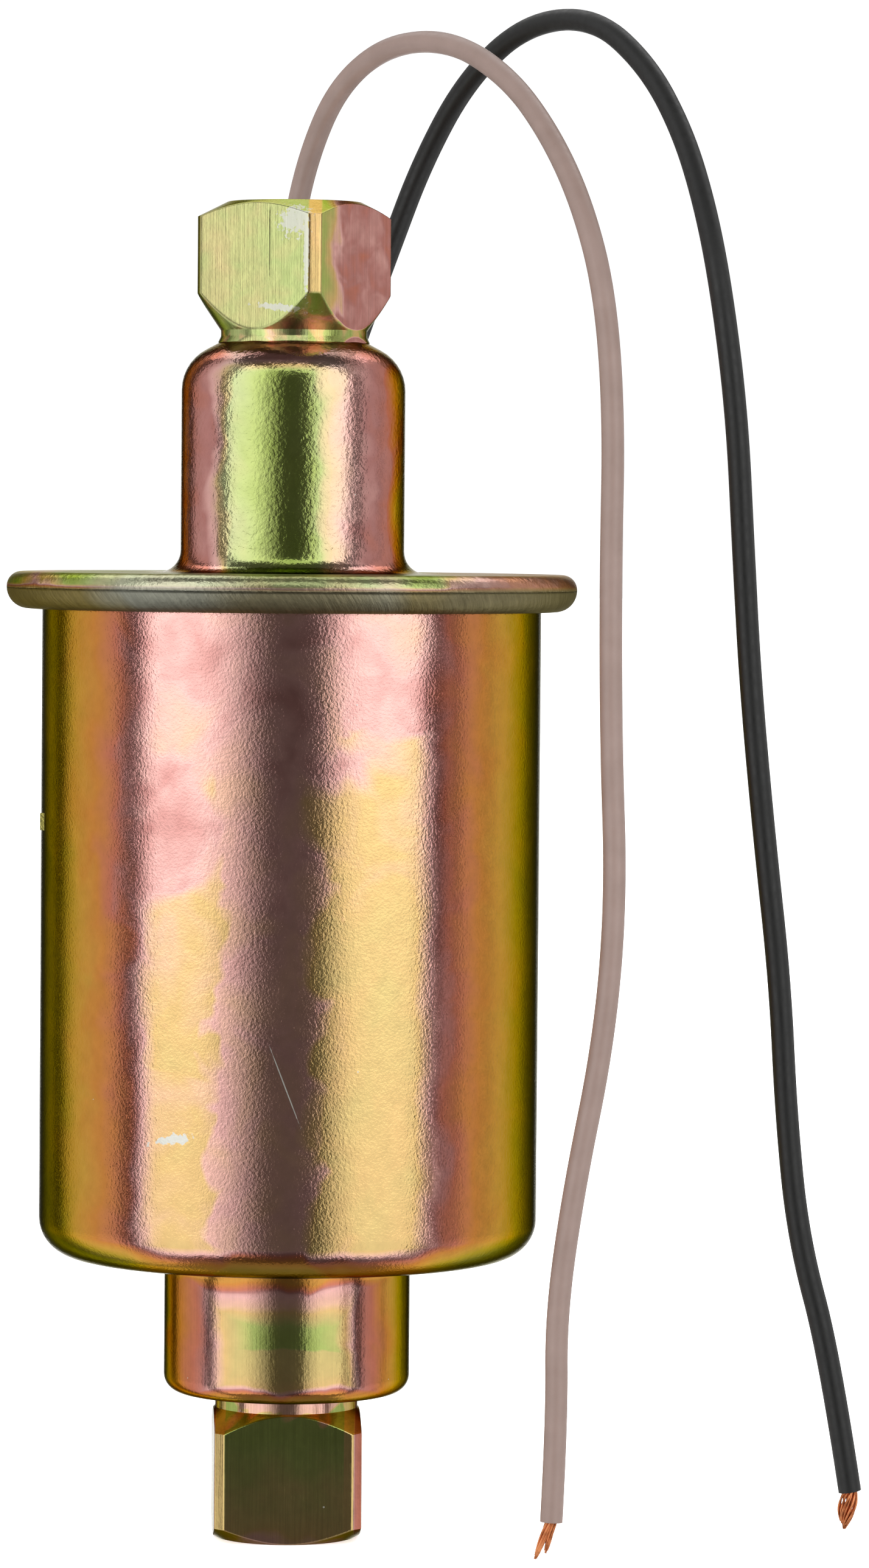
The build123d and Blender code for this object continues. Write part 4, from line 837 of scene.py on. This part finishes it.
bush_outline = outline((
    (0.0, -2.2, 0), (4.9, -2.2, 0.2), (4.9, -1.1, 0.2), (4.0, -1.1, 0), (4.0, 0.0, 0), (4.9, 0.0, 0.2),
    (4.9, 1.1, 0.55), (0.0, 1.1, 0),
))
black_rubber = moulded("black_grommet_rubber", "#232323", "#191919", 0.8, 0.55, 1.52)
bush = grow("lead_bush", bush_tree(), bush_outline, {
    "Segments": 96, "Place": tuple(grommet_place * mm), "Lead Spacing": 4.1 * mm, "Lead Hole": 1.21 * mm,
    "Finish": black_rubber})
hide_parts("wire_grommet")
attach(bush, "housing")


# Pieces inside the can. Turned, moulded and wound parts, stacked on the pump's tube, with the
# circuit board above them. The solids stay, each with the finish of what it is made of.
def dress(finish, *names):
    """Gives a finish to solids that keep their shape."""
    for name in names:
        nodes[name].data.materials.clear()
        nodes[name].data.materials.append(finish)


def machined(name, colour, shade, lines, gloss):
    """A bare metal, with tool or draw marks of a pitch in mm along X, Y and Z."""
    material, tree, shader, place = new_finish(name)
    marks = add(tree, "ShaderNodeMapping", {"Vector": place, "Scale": [1 / pitch for pitch in lines]})
    marks = add(tree, "ShaderNodeTexNoise", {"Vector": marks, "Scale": 1.0, "Detail": 4})
    tint = add(tree, "ShaderNodeMix", {"Factor": marks, 6: linear(shade), 7: linear(colour)}, data_type="RGBA")
    rough = add(tree, "ShaderNodeMapRange", [marks, 0.3, 0.7, gloss - 0.06, gloss + 0.1])
    bump = add(tree, "ShaderNodeBump", {"Strength": 0.4, "Distance": 0.01 * mm, "Height": marks})
    feed(tree, shader, {"Base Color": tint.outputs[2], "Roughness": rough, "Normal": bump, "Metallic": 1.0})
    return material


# Plunger and its magnetic path: low carbon steel, turned and ground, left bare in the fuel
dress(machined("turned_low_carbon_steel", "#b9b8b4", "#8f8e8a", (4, 4, 0.3), 0.32),
      "plunger", "lower_pole_plate", "upper_pole_plate", "flux_sleeve", "cover_retainer")
# Springs: hard drawn stainless wire, with draw lines round the coils. Each is pressed by a joint; its travel in mm and
# the end that stays are listed, but the coils are a fixed copy of the solid, riding on its body.
spring_wire = machined("drawn_spring_wire", "#cfcdc8", "#a5a39e", (0.5, 0.5, 0.2), 0.24)
bottom_end, top_end = 0, 1
springs = (
    # spring, the body that it rides on, joint, travel, end that stays
    ("plunger_spring", "housing", "plunger_travel", 9.0, bottom_end),
    ("foot_valve_spring", "housing", "foot_valve_lift", 1.6, top_end),
    ("delivery_valve_spring", "plunger", "delivery_valve_lift", 1.5, top_end),
)
for spring, body, joint, travel, still_end in springs:
    wires = bmesh.new()
    wires.from_mesh(nodes[spring].data)
    bmesh.ops.remove_doubles(wires, verts=wires.verts, dist=weld)
    coils = bpy.data.objects.new(f"{spring}_coils", bpy.data.meshes.new(f"{spring}_coils"))
    wires.to_mesh(coils.data)
    wires.free()
    coils.data.materials.append(spring_wire)
    scene.collection.objects.link(coils)
    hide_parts(spring)
    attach(coils, body)
    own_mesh(coils)
# Strainer: a sleeve of woven stainless mesh
dress(machined("woven_stainless_mesh", "#c3c2bd", "#7d7c78", (0.3, 0.3, 0.3), 0.4), "filter_mesh")
# Tube, valve seats and posts: drawn and turned brass
dress(machined("turned_brass", "#d8b766", "#b08d42", (3, 3, 0.25), 0.28),
      "pump_tube", "foot_valve_seat", "foot_valve_cage", "bumper_cup", "delivery_valve_ring", "terminal_posts")
# Inner leads: bare copper, like the strands outside
dress(copper, "inner_leads")
# Gaskets: pressed cork and rubber granules
dress(moulded("pressed_cork_and_rubber", "#9a7046", "#4c3524", 0.9, 0.8, 1.5, relief=0.1),
      "rim_gasket", "filter_gasket")
# Seals, bumper and valve discs: fuel-proof nitrile rubber, satin from the mould
dress(moulded("nitrile_rubber", "#2b2a29", "#1c1b1b", 1.5, 0.5, 1.52),
      "lower_o_ring", "upper_o_ring", "bumper", "foot_valve_disc", "delivery_valve_disc")
# Bobbin, spacers, filter ring and board standoffs: natural nylon, slightly cloudy
dress(moulded("natural_nylon", "#e6e1d2", "#d6cfba", 3.0, 0.4, 1.53),
      "coil_bobbin", "lower_spacer", "spacer_tube", "filter_ring", "board_standoffs")
# Board: green solder resist on glass-cloth laminate; its weave shows as fine mottling
dress(moulded("glass_cloth_laminate", "#2f6b3c", "#255631", 0.5, 0.3, 1.55), "circuit_board")
# Transistor and diodes: black moulded epoxy, with a spark-eroded mould texture
dress(moulded("moulded_black_epoxy", "#2a2a2c", "#1f1f20", 0.3, 0.6, 1.55, relief=0.03),
      "switching_transistor", "clamp_diodes")
# Resistors: dipped tan lacquer; capacitor: blue shrink sleeve
dress(moulded("dipped_tan_lacquer", "#c9a777", "#b9935f", 1.0, 0.35, 1.5), "board_resistors")
dress(moulded("blue_shrink_sleeve", "#27457e", "#203866", 2.0, 0.3, 1.5), "timing_capacitor")
# Filter magnet: sintered ferrite, dark and slightly glittering
dress(moulded("sintered_ferrite", "#45433f", "#2f2e2b", 0.25, 0.45, 1.6, relief=0.03), "filter_magnet")
# Tape round the coil: yellow polyester film
dress(moulded("polyester_coil_tape", "#d9b13c", "#c59a2a", 4.0, 0.22, 1.6), "coil_tape")


# Windings. Enamelled copper wire, laid turn by turn on the bobbin: glossy red brown, with painted shade, dark red
# brown, in the groove between the turns. The turns, 0.5 mm thick, are drawn as bands.
def wound(name, colour, groove_shade, pitch):
    """Wire wound at a pitch in mm, with a groove between its turns, darkened by painted shade."""
    material, tree, shader, place = new_finish(name)
    height = add(tree, "ShaderNodeSeparateXYZ", [place]).outputs["Z"]
    turn = add(tree, "ShaderNodeMath", [height, pitch], operation="DIVIDE")
    turn = add(tree, "ShaderNodeMath", [turn, 0.5], operation="PINGPONG")
    # The groove between turns is darkened: painted shade
    tint = add(tree, "ShaderNodeMapRange", [turn, 0.05, 0.2])
    tint = add(tree, "ShaderNodeMix", {"Factor": tint, 6: linear(groove_shade), 7: linear(colour)}, data_type="RGBA")
    bump = add(tree, "ShaderNodeBump", {"Strength": 1.0, "Distance": 0.3 * mm, "Height": turn})
    feed(tree, shader, {"Base Color": tint.outputs[2], "Roughness": 0.3, "Normal": bump, "Metallic": 1.0,
                        "Coat Weight": 0.6})
    return material


dress(wound("enamelled_copper_winding", "#c0623a", "#5c2a18", 0.5), "drive_winding", "sense_winding", "coil_tails")


# Table. The pump stands on a plain white table that runs out of sight behind it. Its matt paint
# shows no reflection, and its own glow keeps it as white as the photograph's ground.
white, white_tree, white_shader, white_place = new_finish("white_matt_paint")
tone = add(white_tree, "ShaderNodeTexNoise", {"Vector": white_place, "Scale": 0.01})
tone = add(white_tree, "ShaderNodeMapRange", {0: tone, 3: 0.94, 4: 0.96})
feed(white_tree, white_shader, {"Base Color": tone, "Roughness": 0.9, "Specular IOR Level": 0.0,
                                "Emission Color": (1, 1, 1, 1), "Emission Strength": 0.45})
table_level, table_half = -65.6 * mm, 9
floor = bpy.data.meshes.new("table_top")
floor.from_pydata([(x * table_half, y * table_half, table_level) for x, y in ((-1, -1), (1, -1), (1, 1), (-1, 1))],
                  [], [(0, 1, 2, 3)])
floor.materials.append(white)
table_top = bpy.data.objects.new("table_top", floor)
scene.collection.objects.link(table_top)
table_top.visible_glossy = False
table_top.visible_shadow = False


# Studio light. A tall softbox on each side of the camera, brighter at its outer and upper parts,
# dimmer panels beside the pump, thin strips behind it, and softboxes above. What lies between them
# stays dark, as the metal's stripes show.
def lit_panel(name, width, height, radiance):
    """An evenly lit rectangle that the camera does not see."""
    light = bpy.data.lights.new(name, "AREA")
    light.shape, light.size, light.size_y = "RECTANGLE", width, height
    light.energy = radiance * math.pi * width * height
    lamp = bpy.data.objects.new(name, light)
    lamp.visible_camera = False
    scene.collection.objects.link(lamp)
    return lamp


def softbox(name, first, last, radiance, height=3.0, middle=-0.29):
    """An upright panel that faces the pump, between two azimuths in degrees from the camera."""
    distance = 0.9
    angle = math.radians((first + last) / 2)
    width = 2 * distance * math.tan(math.radians(abs(last - first) / 2))
    lamp = lit_panel(name, width, height, radiance)
    lamp.location = (distance * math.sin(angle), -distance * math.cos(angle), middle)
    lamp.rotation_euler = (math.radians(90), 0, angle)


dimmed = 0.7
for name, first, last, radiance in (
    ("left_softbox", -69.5, -34, 1.6), ("left_softbox_fall_off", -34, -24, 1.1), ("left_softbox_edge", -24, -15, 0.5),
    ("right_softbox", 28, 64.5, 1.6), ("right_softbox_fall_off", 19, 28, 1.1),
):
    softbox(name, first, last, radiance, height=1.26, middle=0.58)
    softbox(f"{name}_low", first, last, dimmed * radiance, height=0.95, middle=-0.525)
softbox("left_panel", -123, -81, 0.72)
softbox("right_panel_front", 75.5, 102.5, 0.65)
softbox("right_panel_back", 104.5, 138, 0.72)
softbox("left_strip", -149, -137, 0.8)
softbox("right_strip", 143, 149, 0.5)
softbox("back_panel", 168, 192, 1.5, height=0.9, middle=0.05)
overhead = lit_panel("overhead_softbox", 1.4, 0.62, 1.6)
overhead.location = (0, 0.55, 0.9)
overhead.rotation_euler = (math.radians(-31.5), 0, 0)
front = lit_panel("front_overhead_softbox", 0.55, 0.36, 1.1)
front.location = (0, -0.59, 0.87)
front.rotation_euler = (math.radians(36), 0, 0)
# White table under and behind the pump, which lights the undersides of its roundings
table_glow = lit_panel("table_glow", 0.8, 0.56, 0.18)
table_glow.location = (0, 0.22, -0.12)
table_glow.rotation_euler = (math.pi, 0, 0)

# The room: white all round, but dark where the metal mirrors it
world = bpy.data.worlds.new("studio")
scene.world = world
world.use_nodes = True
sky = world.node_tree
rays = add(sky, "ShaderNodeLightPath")
shade = add(sky, "ShaderNodeMix", {"Factor": rays.outputs["Is Glossy Ray"], 6: (1.12, 1.12, 1.12, 1),
                                   7: (0.1, 0.095, 0.09, 1)}, data_type="RGBA")
feed(sky, sky.nodes["Background"], [shade.outputs[2]])
scene.view_settings.view_transform = "Standard"
